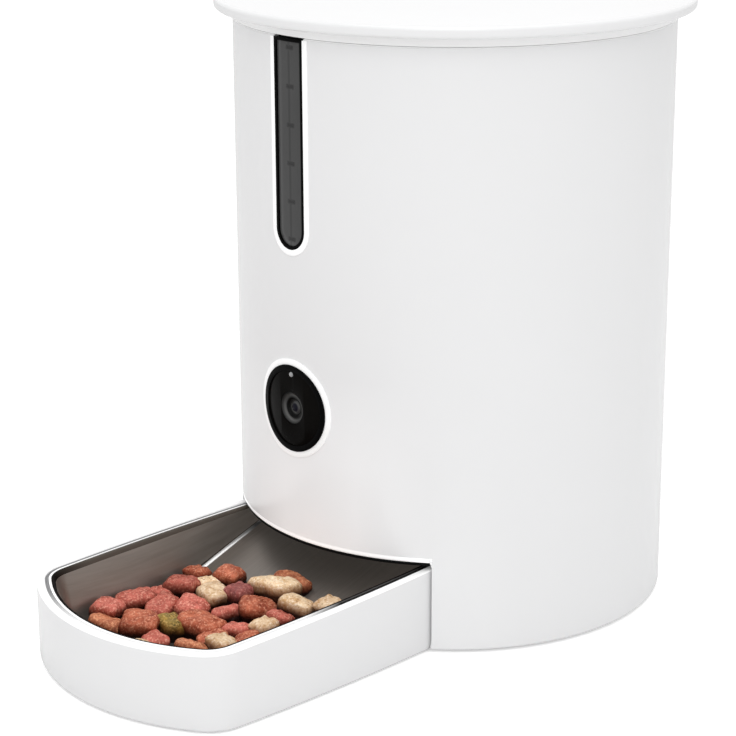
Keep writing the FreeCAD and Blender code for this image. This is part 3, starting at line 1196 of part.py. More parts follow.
def main():
    os.makedirs("parts", exist_ok=True)
    pieces = [outer_housing, window_frame, level_window, camera_bezel, camera_cover, camera_barrel,
              camera_lens, status_light_guide, camera_board, camera_bracket, bracket_screws, camera_cable,
              drive_deck, deck_screws, outlet_chute, food_sensor, gearbox_case, gearbox_cover,
              gearbox_screws, idler_pin, drive_motor, motor_screws, motor_leads, main_board, board_screws,
              reset_switch, power_inlet, speaker, base_plate, base_screws, rubber_feet, bowl_tray,
              steel_bowl, tray_feet, food_hopper, rotor_chamber, outlet_baffle, wiper_flap, portion_rotor,
              rotor_cap, lid_shell, lid_liner, lid_seal, desiccant_box, desiccant_cover, output_gear,
              idler_gear, motor_pinion, reset_button]
    for piece in pieces:
        shape = piece()
        save(piece.__name__, shape)
        print(piece.__name__, "valid" if shape.isValid() else "NOT VALID", len(shape.Solids),
              round(shape.Volume), flush=True)


main()
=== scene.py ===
"""Looks of the automatic pet feeder with camera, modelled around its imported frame."""

import math
import random
from contextlib import contextmanager
from functools import cache

import bmesh
import bpy
from bpy.props import FloatProperty, FloatVectorProperty, IntProperty, PointerProperty
from mathutils import Matrix, Vector


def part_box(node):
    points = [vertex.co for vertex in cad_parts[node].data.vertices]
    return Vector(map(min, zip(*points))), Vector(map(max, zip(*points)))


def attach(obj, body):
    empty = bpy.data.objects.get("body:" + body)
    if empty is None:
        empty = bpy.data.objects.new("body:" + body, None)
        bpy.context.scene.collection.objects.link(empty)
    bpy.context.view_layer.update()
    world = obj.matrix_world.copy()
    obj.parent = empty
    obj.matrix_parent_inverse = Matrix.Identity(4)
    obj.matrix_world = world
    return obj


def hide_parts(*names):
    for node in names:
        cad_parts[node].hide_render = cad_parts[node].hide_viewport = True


bl_info = {
    "name": "Automatic pet feeder",
    "version": (1, 0, 0),
    "blender": (4, 5, 0),
    "location": "3D View > Sidebar > Pet feeder",
    "description": "Models the feeder's shells, bowl, window, camera eye and food around its frame",
    "category": "Object",
}

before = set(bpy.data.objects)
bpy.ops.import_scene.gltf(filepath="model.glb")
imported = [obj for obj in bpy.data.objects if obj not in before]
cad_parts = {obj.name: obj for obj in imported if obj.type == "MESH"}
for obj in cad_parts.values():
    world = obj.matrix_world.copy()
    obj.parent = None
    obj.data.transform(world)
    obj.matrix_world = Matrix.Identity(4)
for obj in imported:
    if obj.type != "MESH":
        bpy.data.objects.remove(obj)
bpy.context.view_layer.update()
MM = 0.001
AXIS_Y = 56.5


def length(name, text, default):
    """A size in metres, given here in millimetres."""
    return FloatProperty(name=name, description=text, default=default * MM, precision=5,
                         subtype="DISTANCE", unit="LENGTH")


def colour(name, text, default):
    return FloatVectorProperty(name=name, description=text, default=default, size=3,
                               min=0.0, max=1.0, subtype="COLOR")


class FeederSizes(bpy.types.PropertyGroup):
    body_radius: length("Body radius", "Outer radius of the round body", 101.5)
    body_inside: length("Body inside", "Inner radius of the round body", 98.5)
    body_foot: length("Body foot", "Height of the body's lower edge", 1.5)
    body_top: length("Body top", "Height of the body's upper edge", 273.0)
    ledge_top: length("Ledge top", "Height of the ledge that carries the deck", 126.0)
    edge_round: length("Edge round", "Rounding of the body's edges", 0.8)
    lid_radius: length("Lid radius", "Outer radius of the lid", 110.0)
    lid_top: length("Lid top", "Height of the lid's top face", 282.8)
    lid_flange_bottom: length("Lid flange", "Height of the lid flange's lower face", 277.6)
    lid_ring_bottom: length("Lid ring", "Height of the lid ring's lower edge", 273.3)
    tray_rim: length("Tray rim", "Height of the tray's rim at its front", 35.4)
    tray_foot: length("Tray foot", "Height of the tray's lower face", 0.9)
    tray_reach: length("Tray reach", "From the body's axis to the tray's front", 223.0)
    rim_width: length("Rim width", "Width of the tray's flat rim", 3.8)
    bowl_sheet: length("Bowl sheet", "Thickness of the steel", 0.8)
    bowl_floor: length("Bowl floor", "Height of the bowl's flat floor", 7.5)
    window_half: length("Window half width", "Half of the level window's width", 9.45)
    window_tip: length("Window tip", "Height of the centre of the window's round end", 188.45)
    camera_height: length("Camera height", "Height of the camera eye", 106.0)
    camera_radius: length("Camera radius", "Radius of the black camera ring", 20.1)
    camera_ring: length("Camera ring width", "Width of the raised ring", 2.6)
    socket_height: length("Socket height", "Height of the power socket and button", 24.0)


class FeederFinish(bpy.types.PropertyGroup):
    white: colour("White shell", "Colour of the glossy white shells", (0.80, 0.80, 0.805))
    black: colour("Black trim", "Colour of the black ring and frame", (0.0012, 0.0012, 0.0013))
    steel: colour("Steel", "Tint of the brushed steel bowl", (0.34, 0.31, 0.285))
    smoke: colour("Smoked window", "Colour of the smoked window", (0.046, 0.046, 0.046))
    red_food: colour("Red food", "Colour of the red pieces of food", (0.60, 0.18, 0.14))
    brown_food: colour("Brown food", "Colour of the brown pieces of food", (0.60, 0.24, 0.13))
    pale_food: colour("Pale food", "Colour of the cream pieces of food", (0.90, 0.79, 0.56))
    floor: colour("Floor", "Colour of the pale floor", (0.86, 0.86, 0.86))
    food_count: IntProperty(name="Food pieces", description="How many pieces of food lie in the bowl",
                            default=62, min=0, max=300)
    food_seed: IntProperty(name="Food seed", description="Start value of the heap's random order",
                           default=11)


def sizes():
    return bpy.context.scene.feeder_sizes


def finish_values():
    return bpy.context.scene.feeder_finish


# Modelling helpers. Places are in millimetres about the body's axis.
def at(x, y, z):
    return Vector((x, y + AXIS_Y, z)) * MM


def mm(value):
    return value / MM


def clear_selection():
    if bpy.context.object and bpy.context.object.mode != "OBJECT":
        bpy.ops.object.mode_set(mode="OBJECT")
    bpy.ops.object.select_all(action="DESELECT")


def take(piece):
    """Select one piece alone and make it active."""
    clear_selection()
    piece.select_set(True)
    bpy.context.view_layer.objects.active = piece


@contextmanager
def editing(piece, kind="FACE"):
    """Edit mode on one piece, with all of it selected."""
    take(piece)
    bpy.ops.object.mode_set(mode="EDIT")
    bpy.ops.mesh.select_mode(type=kind)
    bpy.ops.mesh.select_all(action="SELECT")
    yield
    bpy.ops.object.mode_set(mode="OBJECT")


def pick(piece, kind, test):
    """In edit mode, select the faces or edges that pass a test."""
    bpy.ops.mesh.select_mode(type=kind)
    bpy.ops.mesh.select_all(action="DESELECT")
    shape = bmesh.from_edit_mesh(piece.data)
    found = [part for part in (shape.faces if kind == "FACE" else shape.edges) if test(part)]
    for part in found:
        part.select_set(True)
    shape.select_flush(True)
    bmesh.update_edit_mesh(piece.data)
    return len(found)


def push(step):
    """Extrude the selected faces by a vector in metres."""
    bpy.ops.mesh.extrude_region_move(TRANSFORM_OT_translate={"value": step})


def face_outwards():
    bpy.ops.mesh.select_all(action="SELECT")
    bpy.ops.mesh.normals_make_consistent(inside=False)


def middle(part):
    return sum((v.co for v in part.verts), Vector()) / len(part.verts)


def new_piece(name):
    piece = bpy.context.object
    piece.name = name
    piece.data.name = name
    return piece


def trace(name, points):
    """Draw a line through points, as a new piece."""
    clear_selection()
    bpy.ops.mesh.primitive_plane_add(size=0.001)
    piece = new_piece(name)
    with editing(piece, "VERT"):
        bpy.ops.mesh.merge(type="CENTER")
        bpy.ops.transform.translate(value=Vector(points[0]))
        for start, end in zip(points, points[1:]):
            step = Vector(end) - Vector(start)
            bpy.ops.mesh.extrude_vertices_move(TRANSFORM_OT_translate={"value": step})
    return piece


def soften(corners, steps=4):
    """Round the corners of an outline. Each corner is (across, along) or (across, along, radius)."""
    straight = math.radians(89.5)
    points = []
    last_corner = len(corners) - 1
    for i, corner in enumerate(corners):
        here = Vector(corner[:2])
        radius = corner[2] if len(corner) > 2 and i not in (0, last_corner) else 0.0
        if radius <= 0.0:
            points.append(tuple(here))
            continue
        back = (Vector(corners[i - 1][:2]) - here).normalized()
        on = (Vector(corners[i + 1][:2]) - here).normalized()
        half = back.angle(on) / 2
        if half > straight:
            points.append(tuple(here))
            continue
        reach = radius / math.tan(half)
        centre = here + (back + on).normalized() * (radius / math.sin(half))
        first, last = here + back * reach - centre, here + on * reach - centre
        for k in range(steps + 1):
            arm = first.slerp(last, k / steps) if first.angle(last) > 1e-4 else first
            points.append(tuple(centre + arm.normalized() * radius))
    return points


def lathe(name, outline, centre=(0.0, 0.0, 0.0), axis="Z", steps=192, corner_steps=4):
    """Spin a closed outline of (radius, distance along the axis) about a line through a centre."""
    outline = soften([*outline, outline[0][:2]], corner_steps)
    middle_point = at(*centre)
    along = Vector((0, 0, 1)) if axis == "Z" else Vector((0, 1, 0))
    piece = trace(name, [middle_point + Vector((r, 0, 0)) * MM + along * h * MM for r, h in outline])
    with editing(piece, "VERT"):
        bpy.ops.mesh.spin(steps=steps, angle=math.tau, center=middle_point, axis=along)
        bpy.ops.mesh.select_all(action="SELECT")
        bpy.ops.mesh.remove_doubles(threshold=2e-6)
        bpy.ops.mesh.normals_make_consistent(inside=False)
    return piece


def rod(name, radius, low, high, centre, axis="Y", steps=128):
    """A plain cylinder between two distances along its axis."""
    return lathe(name, [(0, low), (radius, low), (radius, high), (0, high)], centre, axis, steps)


def plate(name, outline, thickness):
    """Fill a closed outline and extrude the face by a vector."""
    piece = trace(name, outline)
    with editing(piece, "VERT"):
        bpy.ops.mesh.edge_face_add()
        bpy.ops.mesh.select_all(action="SELECT")
        push(Vector(thickness))
        face_outwards()
    return piece


def brick(name, low, high, bevel=0.0):
    """A block between two corners with bevelled edges."""
    low, high = at(*low), at(*high)
    clear_selection()
    bpy.ops.mesh.primitive_cube_add(size=1.0)
    piece = new_piece(name)
    with editing(piece):
        bpy.ops.transform.resize(value=high - low)
        bpy.ops.transform.translate(value=(low + high) / 2)
        if bevel:
            bpy.ops.mesh.bevel(offset=bevel * MM, segments=3, affect="EDGES")
    return piece


def apply(piece, kind, **settings):
    """Add one modifier to a piece and apply it."""
    take(piece)
    change = piece.modifiers.new(kind.lower(), kind)
    for key, value in settings.items():
        setattr(change, key, value)
    bpy.ops.object.modifier_apply(modifier=change.name)
    return piece


def remove(piece):
    mesh = piece.data
    bpy.data.objects.remove(piece)
    bpy.data.meshes.remove(mesh)


def combine(piece, tool, how):
    apply(piece, "BOOLEAN", operation=how, solver="EXACT", object=tool)
    remove(tool)
    return piece


def cut(piece, *tools):
    for tool in tools:
        combine(piece, tool, "DIFFERENCE")
    return piece


def join(pieces, name):
    """Several separate pieces made one."""
    clear_selection()
    for piece in pieces:
        piece.select_set(True)
    bpy.context.view_layer.objects.active = pieces[0]
    bpy.ops.object.join()
    return new_piece(name)


def weld(piece, threshold):
    """Merge the points of a piece that lie closer than a threshold in metres."""
    with editing(piece, "VERT"):
        bpy.ops.mesh.remove_doubles(threshold=threshold)


def tidy(piece, threshold=1e-6, angle=30.0):
    """Merge doubles and shade smooth up to an angle."""
    weld(piece, threshold)
    take(piece)
    bpy.ops.object.shade_smooth_by_angle(angle=math.radians(angle))
    return piece


def soft_edges(piece, width, segments=2):
    """Weld a piece after its cuts, then round every sharp edge and shade it."""
    weld(piece, 2e-5)
    apply(piece, "BEVEL", width=width * MM, segments=segments, limit_method="ANGLE",
          angle_limit=math.radians(40.0), use_clamp_overlap=True)
    return tidy(piece)


def finish_piece(piece, body, material, slot, *nodes):
    """Give a piece its finish, its body and the nodes that it stands for."""
    piece.data.materials.clear()
    for surface in material if isinstance(material, (list, tuple)) else [material]:
        piece.data.materials.append(surface)
    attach(piece, body)
    if nodes:
        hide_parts(*nodes)
    return piece


# Surfaces
WHITE = (1.0, 1.0, 1.0)
VECTOR = ("Vector", "Vector", (0.0, 0.0, 0.0))


class Wires:
    """Short calls to add and link nodes of one tree. In a socket's name, _ stands for a space."""

    def __init__(self, tree):
        self.tree = tree

    def put(self, socket, value):
        """Link an output to a socket, or give the socket its own value."""
        if isinstance(value, bpy.types.NodeSocket):
            self.tree.links.new(value, socket)
        else:
            socket.default_value = (*value, 1.0) if socket.type == "RGBA" else value

    def feed(self, node, **values):
        """Set a node's own values and its sockets by name."""
        for key, value in values.items():
            if hasattr(node, key):
                setattr(node, key, value)
            else:
                self.put(node.inputs[key.replace("_", " ")], value)
        return node

    def add(self, kind, **values):
        return self.feed(self.tree.nodes.new("ShaderNode" + kind), **values)

    def use(self, tree, **values):
        """Place a shared group with its own values, and return its outputs."""
        return self.feed(self.add("Group", node_tree=tree), **values).outputs

    def split(self, vector):
        return self.add("SeparateXYZ", Vector=vector).outputs

    def math(self, how, first, second=0.0, clamp=False):
        node = self.add("Math", operation=how, use_clamp=clamp)
        self.put(node.inputs[0], first)
        self.put(node.inputs[1], second)
        return node.outputs[0]

    def times(self, first, second):
        return self.math("MULTIPLY", first, second)

    def less(self, first, second):
        return self.math("SUBTRACT", first, second)

    def size(self, value):
        """A value without its sign."""
        return self.math("ABSOLUTE", value)

    def noise(self, where, scale, detail=3.0, rough=0.5):
        return self.add("TexNoise", Vector=where, Scale=scale, Detail=detail, Roughness=rough).outputs["Fac"]

    def spread(self, value, low, high, to_low, to_high):
        """Carry a value from one range to another, linearly."""
        return self.add("MapRange", clamp=True, Value=value, From_Min=low, From_Max=high,
                        To_Min=to_low, To_Max=to_high).outputs["Result"]

    def blend(self, share, first, second, how="MIX"):
        node = self.add("Mix", data_type="RGBA", blend_type=how)
        for index, value in zip((0, 6, 7), (share, first, second)):
            self.put(node.inputs[index], value)
        return node.outputs[2]

    def grey(self, value):
        """A colour with one value in its three channels."""
        node = self.add("CombineColor")
        for socket in node.inputs[:3]:
            self.put(socket, value)
        return node.outputs[0]

    def bump(self, height, strength, distance=0.00002):
        return self.add("Bump", Strength=strength, Distance=distance, Height=height).outputs[0]


def group(name, inputs, outputs):
    """An empty node group with its sockets. Returns its wires, its inputs and its end node."""
    tree = bpy.data.node_groups.new(name, "ShaderNodeTree")
    for label, kind, default in inputs:
        socket = tree.interface.new_socket(label, in_out="INPUT", socket_type="NodeSocket" + kind)
        socket.default_value = default
    for label, kind in outputs:
        tree.interface.new_socket(label, in_out="OUTPUT", socket_type="NodeSocket" + kind)
    w = Wires(tree)
    start, end = tree.nodes.new("NodeGroupInput"), tree.nodes.new("NodeGroupOutput")
    return w, start.outputs, end


def wired(material):
    """A material's wires, its Principled shader and Object coordinates."""
    w = Wires(material.node_tree)
    return w, w.tree.nodes["Principled BSDF"], w.add("TexCoord").outputs["Object"]


def surface(name):
    """A new material, with its wires, shader and coordinates."""
    material = bpy.data.materials.new(name)
    material.use_nodes = True
    return material, *wired(material)


@cache
def variation():
    """Group with a slight change of tone, gloss and height over a moulded surface."""
    w, start, end = group("Moulded variation", [
        VECTOR, ("Base", "Color", (0.8, 0.8, 0.8, 1.0)), ("Tone", "Float", 0.03), ("Rough", "Float", 0.3),
        ("Rough spread", "Float", 0.05), ("Broad scale", "Float", 14.0), ("Fine scale", "Float", 900.0)],
        [("Color", "Color"), ("Roughness", "Float"), ("Height", "Float")])
    broad = w.noise(start["Vector"], start["Broad scale"], 3.0)
    fine = w.noise(start["Vector"], start["Fine scale"], 2.0)
    tone = w.spread(broad, 0.3, 0.7, w.less(1.0, start["Tone"]), 1.0)
    smear = w.times(w.less(broad, 0.5), start["Rough spread"])
    w.feed(end, Color=w.blend(1.0, start["Base"], w.grey(tone), "MULTIPLY"),
           Roughness=w.math("ADD", start["Rough"], smear, clamp=True),
           Height=w.math("ADD", w.times(broad, 0.6), w.times(fine, 0.4)))
    return w.tree


@cache
def brushing():
    """Group with the long fine lines of brushed metal, as height and as a mask."""
    w, start, end = group("Brushed lines", [VECTOR, ("Across", "Float", 1400.0), ("Along", "Float", 26.0)],
                          [("Lines", "Float"), ("Cloud", "Float")])
    x, y, z = w.split(start["Vector"])
    drawn = w.add("CombineXYZ", X=w.times(x, start["Across"]), Y=w.times(y, start["Along"]),
                  Z=w.times(z, start["Along"]))
    w.feed(end, Lines=w.noise(drawn.outputs[0], 1.0, 4.0, 0.6), Cloud=w.noise(start["Vector"], 22.0, 3.0))
    return w.tree


@cache
def bowl_sides():
    """Group with masks of the bowl's far side, of its left half and of its near side's end by the body, which
    place the bowl's painted shade and dim its painted light.
    """
    w, start, end = group("Bowl sides", [VECTOR], [("Far", "Float"), ("Near", "Float"), ("Left", "Float")])
    x, y, _ = w.split(start["Vector"])
    w.feed(end, Left=w.spread(x, -0.042, -0.008, 1.0, 0.0),
           Far=w.times(w.spread(x, -0.054, -0.048, 1.0, 0.0), w.spread(y, -0.140, -0.118, 0.0, 1.0)),
           Near=w.times(w.spread(x, 0.044, 0.050, 0.0, 1.0), w.spread(y, -0.092, -0.072, 0.0, 1.0)))
    return w.tree


@cache
def lens_ring_highlights():
    """Group with two soft rings of painted highlight about the lens's centre, strongest at two opposite
    places.
    """
    w, start, end = group("Lens ring highlights", [VECTOR, ("Height", "Float", 0.106)], [("Mask", "Float")])
    x, _, z = w.split(start["Vector"])
    lift = w.less(z, start["Height"])
    reach = w.math("SQRT", w.math("ADD", w.times(x, x), w.times(lift, lift)))
    slant = w.size(w.math("DIVIDE", w.math("ADD", x, lift), w.math("MAXIMUM", reach, 0.001)))
    outer, inner = (w.spread(w.size(w.less(reach, radius)), 0.0002, half, share, 0.0)
                    for radius, half, share in ((0.0060, 0.0013, 1.0), (0.0025, 0.0009, 0.9)))
    w.feed(end, Mask=w.times(w.math("MAXIMUM", outer, inner), w.spread(slant, 0.4, 1.4, 0.55, 1.0)))
    return w.tree


@cache
def moulded(name, base, rough, tone=0.03, spread=0.06, bump=0.05, fine=900.0, broad=14.0, depth=0.00002,
            **constant):
    """Moulded plastic or rubber with slight variation."""
    material, w, shader, where = surface(name)
    varied = w.use(variation(), Vector=where, Base=base, Tone=tone, Rough=rough, Rough_spread=spread,
                   Fine_scale=fine, Broad_scale=broad)
    w.feed(shader, Base_Color=varied["Color"], Roughness=varied["Roughness"],
           Normal=w.bump(varied["Height"], bump, depth), **constant)
    return material


def white_shell(name="white_shell"):
    return moulded(name, tuple(finish_values().white), 0.24, tone=0.012, spread=0.08, bump=0.10,
                   fine=420.0, broad=9.0, depth=0.00003, Coat_Weight=0.25, Coat_Roughness=0.12)


def highlight_white(name="highlight_white", painted_glow=0.12):
    """Painted highlight for the thin rounded edges of the white shells: a lighter white with an emission that
    glows.
    """
    return moulded(name, (0.93, 0.93, 0.93), 0.22, tone=0.01, spread=0.05, bump=0.06, fine=420.0,
                   Emission_Color=WHITE, Emission_Strength=painted_glow)


@cache
def tray_white():
    """The tray's white, with painted light: an emission that makes it lighter along its back edge beside the
    body.
    """
    material = white_shell("tray_white")
    w, shader, where = wired(material)
    _, y, _ = w.split(where)
    # Painted light: an emission that rises towards the back edge.
    painted_glow = w.math("ADD", w.spread(y, -0.016, -0.001, 0.0, 0.10), w.spread(y, -0.0030, -0.0016, 0.0, 0.12))
    w.feed(shader, Emission_Color=WHITE, Emission_Strength=painted_glow)
    return material


@cache
def body_white():
    """The body's white, with painted light on its lower front: an emission that stands in for light thrown up
    by the tray.
    """
    material = white_shell("body_white")
    w, shader, where = wired(material)
    x, y, z = w.split(where)
    # Painted light: an emission that fades upward from the arch and towards both sides.
    low = w.spread(z, 0.043, 0.125, 0.9, 0.0)
    front = w.spread(y, -0.030, 0.010, 1.0, 0.0)
    dim, full = 0.05, 0.257
    side = w.math("MINIMUM", w.spread(x, -0.048, -0.006, dim, full), w.spread(x, 0.034, 0.064, full, dim))
    w.feed(shader, Emission_Color=WHITE, Emission_Strength=w.times(w.times(low, front), side))
    return material


def white_satin():
    return moulded("white_satin", (0.74, 0.745, 0.75), 0.42, bump=0.16, fine=1500.0)


def black_gloss():
    return moulded("black_gloss", tuple(finish_values().black), 0.3, tone=0.25, spread=0.1,
                   Specular_IOR_Level=0.03)


def black_satin():
    return moulded("black_satin", (0.014, 0.014, 0.015), 0.45, tone=0.2, bump=0.25, fine=1600.0)


def eye_gloss():
    return moulded("camera_black", (0.0042, 0.0037, 0.0033), 0.2, tone=0.35, spread=0.1, bump=0.03,
                   broad=60.0, Specular_IOR_Level=0.02)


# Painted shade: a near black with little gloss, for the strip that stands for the shade under the arch's
# edge.
def shadow_strip_black():
    return moulded("shadow_strip_black", (0.006, 0.006, 0.006), 0.7, tone=0.2, bump=0.2, fine=1500.0,
                   Specular_IOR_Level=0.05)


def grey_plastic():
    return moulded("grey_plastic", (0.46, 0.47, 0.48), 0.5, tone=0.05, bump=0.25, fine=1300.0)


def grey_rubber():
    return moulded("grey_rubber", (0.16, 0.16, 0.165), 0.75, tone=0.12, bump=0.4, fine=1200.0)


def cable_sleeve():
    return moulded("cable_sleeve", (0.02, 0.02, 0.021), 0.5, tone=0.2, bump=0.2, fine=1500.0)


def clear_silicone():
    return moulded("clear_silicone", (0.62, 0.64, 0.66), 0.5, tone=0.08, bump=0.2)


def gear_plastic():
    return moulded("gear_plastic", (0.78, 0.76, 0.68), 0.4, tone=0.06, bump=0.15)


def scaled(tint, *shares):
    """A colour with its channels multiplied, by one share or by three."""
    return tuple(c * share for c, share in zip(tint, shares * 3 if len(shares) == 1 else shares))


@cache
def brushed_steel(name="brushed_bowl", share=0.85):
    """Satin steel of the drawn bowl, with lines that run front to back and a faint warm painted glow."""
    material, w, shader, where = surface(name)
    lines, cloud = w.use(brushing(), Vector=where)
    base = scaled(finish_values().steel, share)
    streaked = w.blend(w.spread(lines, 0.25, 0.75, 0.0, 1.0), scaled(base, 0.82), scaled(base, 1.18))
    # Painted light: a faint warm emission over all the steel.
    w.feed(shader, Metallic=1.0, Anisotropic=0.35, Emission_Color=(1.0, 0.87, 0.76), Emission_Strength=0.03,
           Base_Color=w.blend(w.spread(cloud, 0.3, 0.7, 0.0, 0.35), streaked, scaled(base, 0.95, 0.86, 0.78)),
           Roughness=w.spread(lines, 0.2, 0.8, 0.34, 0.48), Normal=w.bump(lines, 0.10))
    return material


@cache
def painted_bright_rim():
    """The bowl's flange and folds, with painted reflection: a near-white base and a glowing emission. Painted
    shade makes it black on the near side by the body and dark deep under the arch, and the glow fades at the
    far and near sides.
    """
    material, w, shader, where = surface("painted_bright_rim")
    cloud = w.noise(where, 60.0)
    sides = w.use(bowl_sides(), Vector=where)
    _, y, z = w.split(where)
    # Painted shade: dark where the bowl runs low and deep under the body.
    deep = w.times(w.spread(z, 0.030, 0.032, 1.0, 0.0), w.spread(y, -0.044, -0.024, 0.0, 1.0))
    bright = w.blend(cloud, (0.90, 0.895, 0.89), (0.98, 0.975, 0.97))
    # Painted shade: black on the near side by the body.
    steel = w.blend(w.times(sides["Near"], 0.97), bright, (0.004, 0.003, 0.003))
    dim = w.math("MAXIMUM", sides["Far"], sides["Near"])
    painted_glow = w.times(w.less(1.0, dim), w.less(1.0, deep))
    w.feed(shader, Specular_IOR_Level=0.10, Emission_Color=WHITE, Emission_Strength=w.times(painted_glow, 0.22),
           Base_Color=w.blend(w.times(deep, 0.85), steel, (0.05, 0.05, 0.05)),
           Roughness=w.spread(cloud, 0.3, 0.7, 0.26, 0.36),
           Metallic=w.times(w.less(1.0, sides["Near"]), 0.6), Normal=w.bump(w.noise(where, 700.0), 0.05))
    return material


@cache
def shaded_steel():
    """Painted shade: steel in the narrow turns painted near black, lighter on the far side."""
    material, w, shader, where = surface("shaded_steel")
    grain = w.noise(where, 300.0)
    dark = w.blend(grain, (0.003, 0.002, 0.002), (0.007, 0.005, 0.004))
    far = w.use(bowl_sides(), Vector=where)["Far"]
    w.feed(shader, Base_Color=w.blend(far, dark, (0.10, 0.085, 0.072)), Specular_IOR_Level=0.03,
           Roughness=w.spread(grain, 0.3, 0.7, 0.55, 0.7))
    return material


@cache
def seam_grey():
    """Step between the tray's rim and the bowl's flange, with painted shade: pale, grey at the left and black
    near the body.
    """
    material, w, shader, where = surface("seam_grey")
    grain = w.noise(where, 500.0)
    grey = w.blend(grain, (0.26, 0.26, 0.265), (0.34, 0.34, 0.345))
    sides = w.use(bowl_sides(), Vector=where)
    line = w.blend(sides["Left"], (0.86, 0.86, 0.86), grey)
    w.feed(shader, Base_Color=w.blend(w.times(sides["Near"], 0.99), line, (0.008, 0.007, 0.007)),
           Roughness=w.spread(grain, 0.3, 0.7, 0.45, 0.55), Specular_IOR_Level=0.05)
    return material


@cache
def metal(name, base, rough):
    """Turned or drawn metal with fine lines."""
    material, w, shader, where = surface(name)
    lines, cloud = w.use(brushing(), Vector=where, Across=90.0, Along=900.0)
    w.feed(shader, Base_Color=w.blend(lines, scaled(base, 0.78), base), Metallic=1.0,
           Roughness=w.spread(cloud, 0.3, 0.7, rough - 0.06, rough + 0.06), Normal=w.bump(lines, 0.12))
    return material


def bright_steel():
    return metal("bright_steel", (0.6, 0.6, 0.62), 0.2)


def motor_steel():
    return metal("motor_steel", (0.52, 0.52, 0.53), 0.32)


def screw_steel():
    return metal("screw_steel", (0.45, 0.45, 0.47), 0.3)


def brass():
    return metal("brass_gear", (0.72, 0.52, 0.22), 0.25)


@cache
def window_smoke():
    """Smoked window with a faint printed scale: a centre line and short marks; and a painted highlight along
    the left of its edge.
    """
    material, w, shader, where = surface("smoked_window")
    x, _, z = w.split(where)
    first_mark, mark_step = 0.17555, 0.0169
    across = w.size(x)
    line = w.spread(across, 0.0003, 0.0010, 1.0, 0.0)
    turns = w.math("MODULO", w.less(z, first_mark), mark_step)
    mark = w.spread(w.size(w.less(turns, mark_step / 2)), 0.0006, 0.0013, 1.0, 0.0)
    near = w.spread(w.size(w.less(x, 0.0006)), 0.0018, 0.0028, 1.0, 0.0)
    scale = w.math("MAXIMUM", w.times(line, 0.5), w.times(mark, near))
    cloud = w.noise(where, 30.0)
    base = tuple(finish_values().smoke)
    plain = w.blend(w.spread(cloud, 0.3, 0.7, 0.0, 1.0), scaled(base, 0.88), scaled(base, 1.1))
    low = w.math("MAXIMUM", w.less(sizes().window_tip, z), 0.0)
    reach = w.math("SQRT", w.math("ADD", w.times(across, across), w.times(low, low)))
    # Painted highlight: the pane is lighter near its edge on the left.
    edge = w.times(w.spread(reach, 0.0046, 0.0066, 0.0, 1.0), w.spread(x, 0.0, 0.004, 1.0, 0.0))
    lit = w.blend(w.times(edge, 0.6), plain, scaled(base, 2.2))
    w.feed(shader, Base_Color=w.blend(w.times(scale, 0.8), lit, (0.006, 0.006, 0.006)),
           Roughness=w.spread(cloud, 0.3, 0.7, 0.2, 0.28), Specular_IOR_Level=0.3, Coat_Weight=0.1,
           Coat_Roughness=0.08)
    return material


@cache
def clear_plastic():
    """Smoked clear plastic of the hopper, with slight haze."""
    material, w, shader, where = surface("smoked_plastic")
    cloud = w.noise(where, 18.0, 4.0)
    haze = w.spread(cloud, 0.3, 0.7, 0.0, 1.0)
    w.feed(shader, Base_Color=w.blend(haze, (0.50, 0.52, 0.54), (0.62, 0.64, 0.66)),
           Roughness=w.spread(cloud, 0.3, 0.7, 0.12, 0.26), Transmission_Weight=0.55, IOR=1.49,
           Normal=w.bump(w.noise(where, 300.0), 0.06, 0.00003))
    return material


@cache
def circuit_board():
    """Green board with fine tracks and small solder pads."""
    material, w, shader, where = surface("circuit_board")
    cells = w.add("TexVoronoi", feature="DISTANCE_TO_EDGE", distance="CHEBYCHEV", Scale=260.0, Vector=where)
    tracks = w.math("LESS_THAN", cells.outputs["Distance"], 0.06)
    dots = w.add("TexVoronoi", Scale=320.0, Vector=where)
    pads = w.math("LESS_THAN", dots.outputs["Distance"], 0.16)
    board = w.blend(tracks, (0.012, 0.11, 0.04), (0.03, 0.20, 0.075))
    w.feed(shader, Base_Color=w.blend(pads, board, (0.55, 0.56, 0.56)), Metallic=w.times(pads, 0.9),
           Roughness=w.spread(pads, 0.0, 1.0, 0.35, 0.25),
           Normal=w.bump(w.math("ADD", tracks, pads), 0.3, 0.00008))
    return material


@cache
def lens_glass():
    """Coated lens glass with two soft rings of painted highlight."""
    material, w, shader, where = surface("lens_glass")
    edge = w.add("LayerWeight", Blend=0.35).outputs["Facing"]
    coated = w.blend(edge, (0.006, 0.006, 0.012), (0.010, 0.008, 0.016))
    ring_highlights = w.use(lens_ring_highlights(), Vector=where)["Mask"]
    w.feed(shader, Base_Color=w.blend(ring_highlights, coated, (0.11, 0.11, 0.108)), IOR=1.6, Specular_IOR_Level=0.03,
           Roughness=w.spread(w.noise(where, 200.0), 0.3, 0.7, 0.02, 0.06), Coat_Weight=0.03,
           Coat_Roughness=0.02)
    return material


@cache
def barrel_black():
    """Black lens tube with soft grey rings of painted highlight."""
    material, w, shader, where = surface("lens_tube")
    ring_highlights = w.use(lens_ring_highlights(), Vector=where)["Mask"]
    shade = w.noise(where, 500.0)
    dull = w.blend(shade, (0.0015, 0.0015, 0.0015), (0.004, 0.004, 0.004))
    w.feed(shader, Base_Color=w.blend(ring_highlights, dull, (0.105, 0.105, 0.103)), Specular_IOR_Level=0.06,
           Roughness=w.spread(shade, 0.3, 0.7, 0.3, 0.45))
    return material


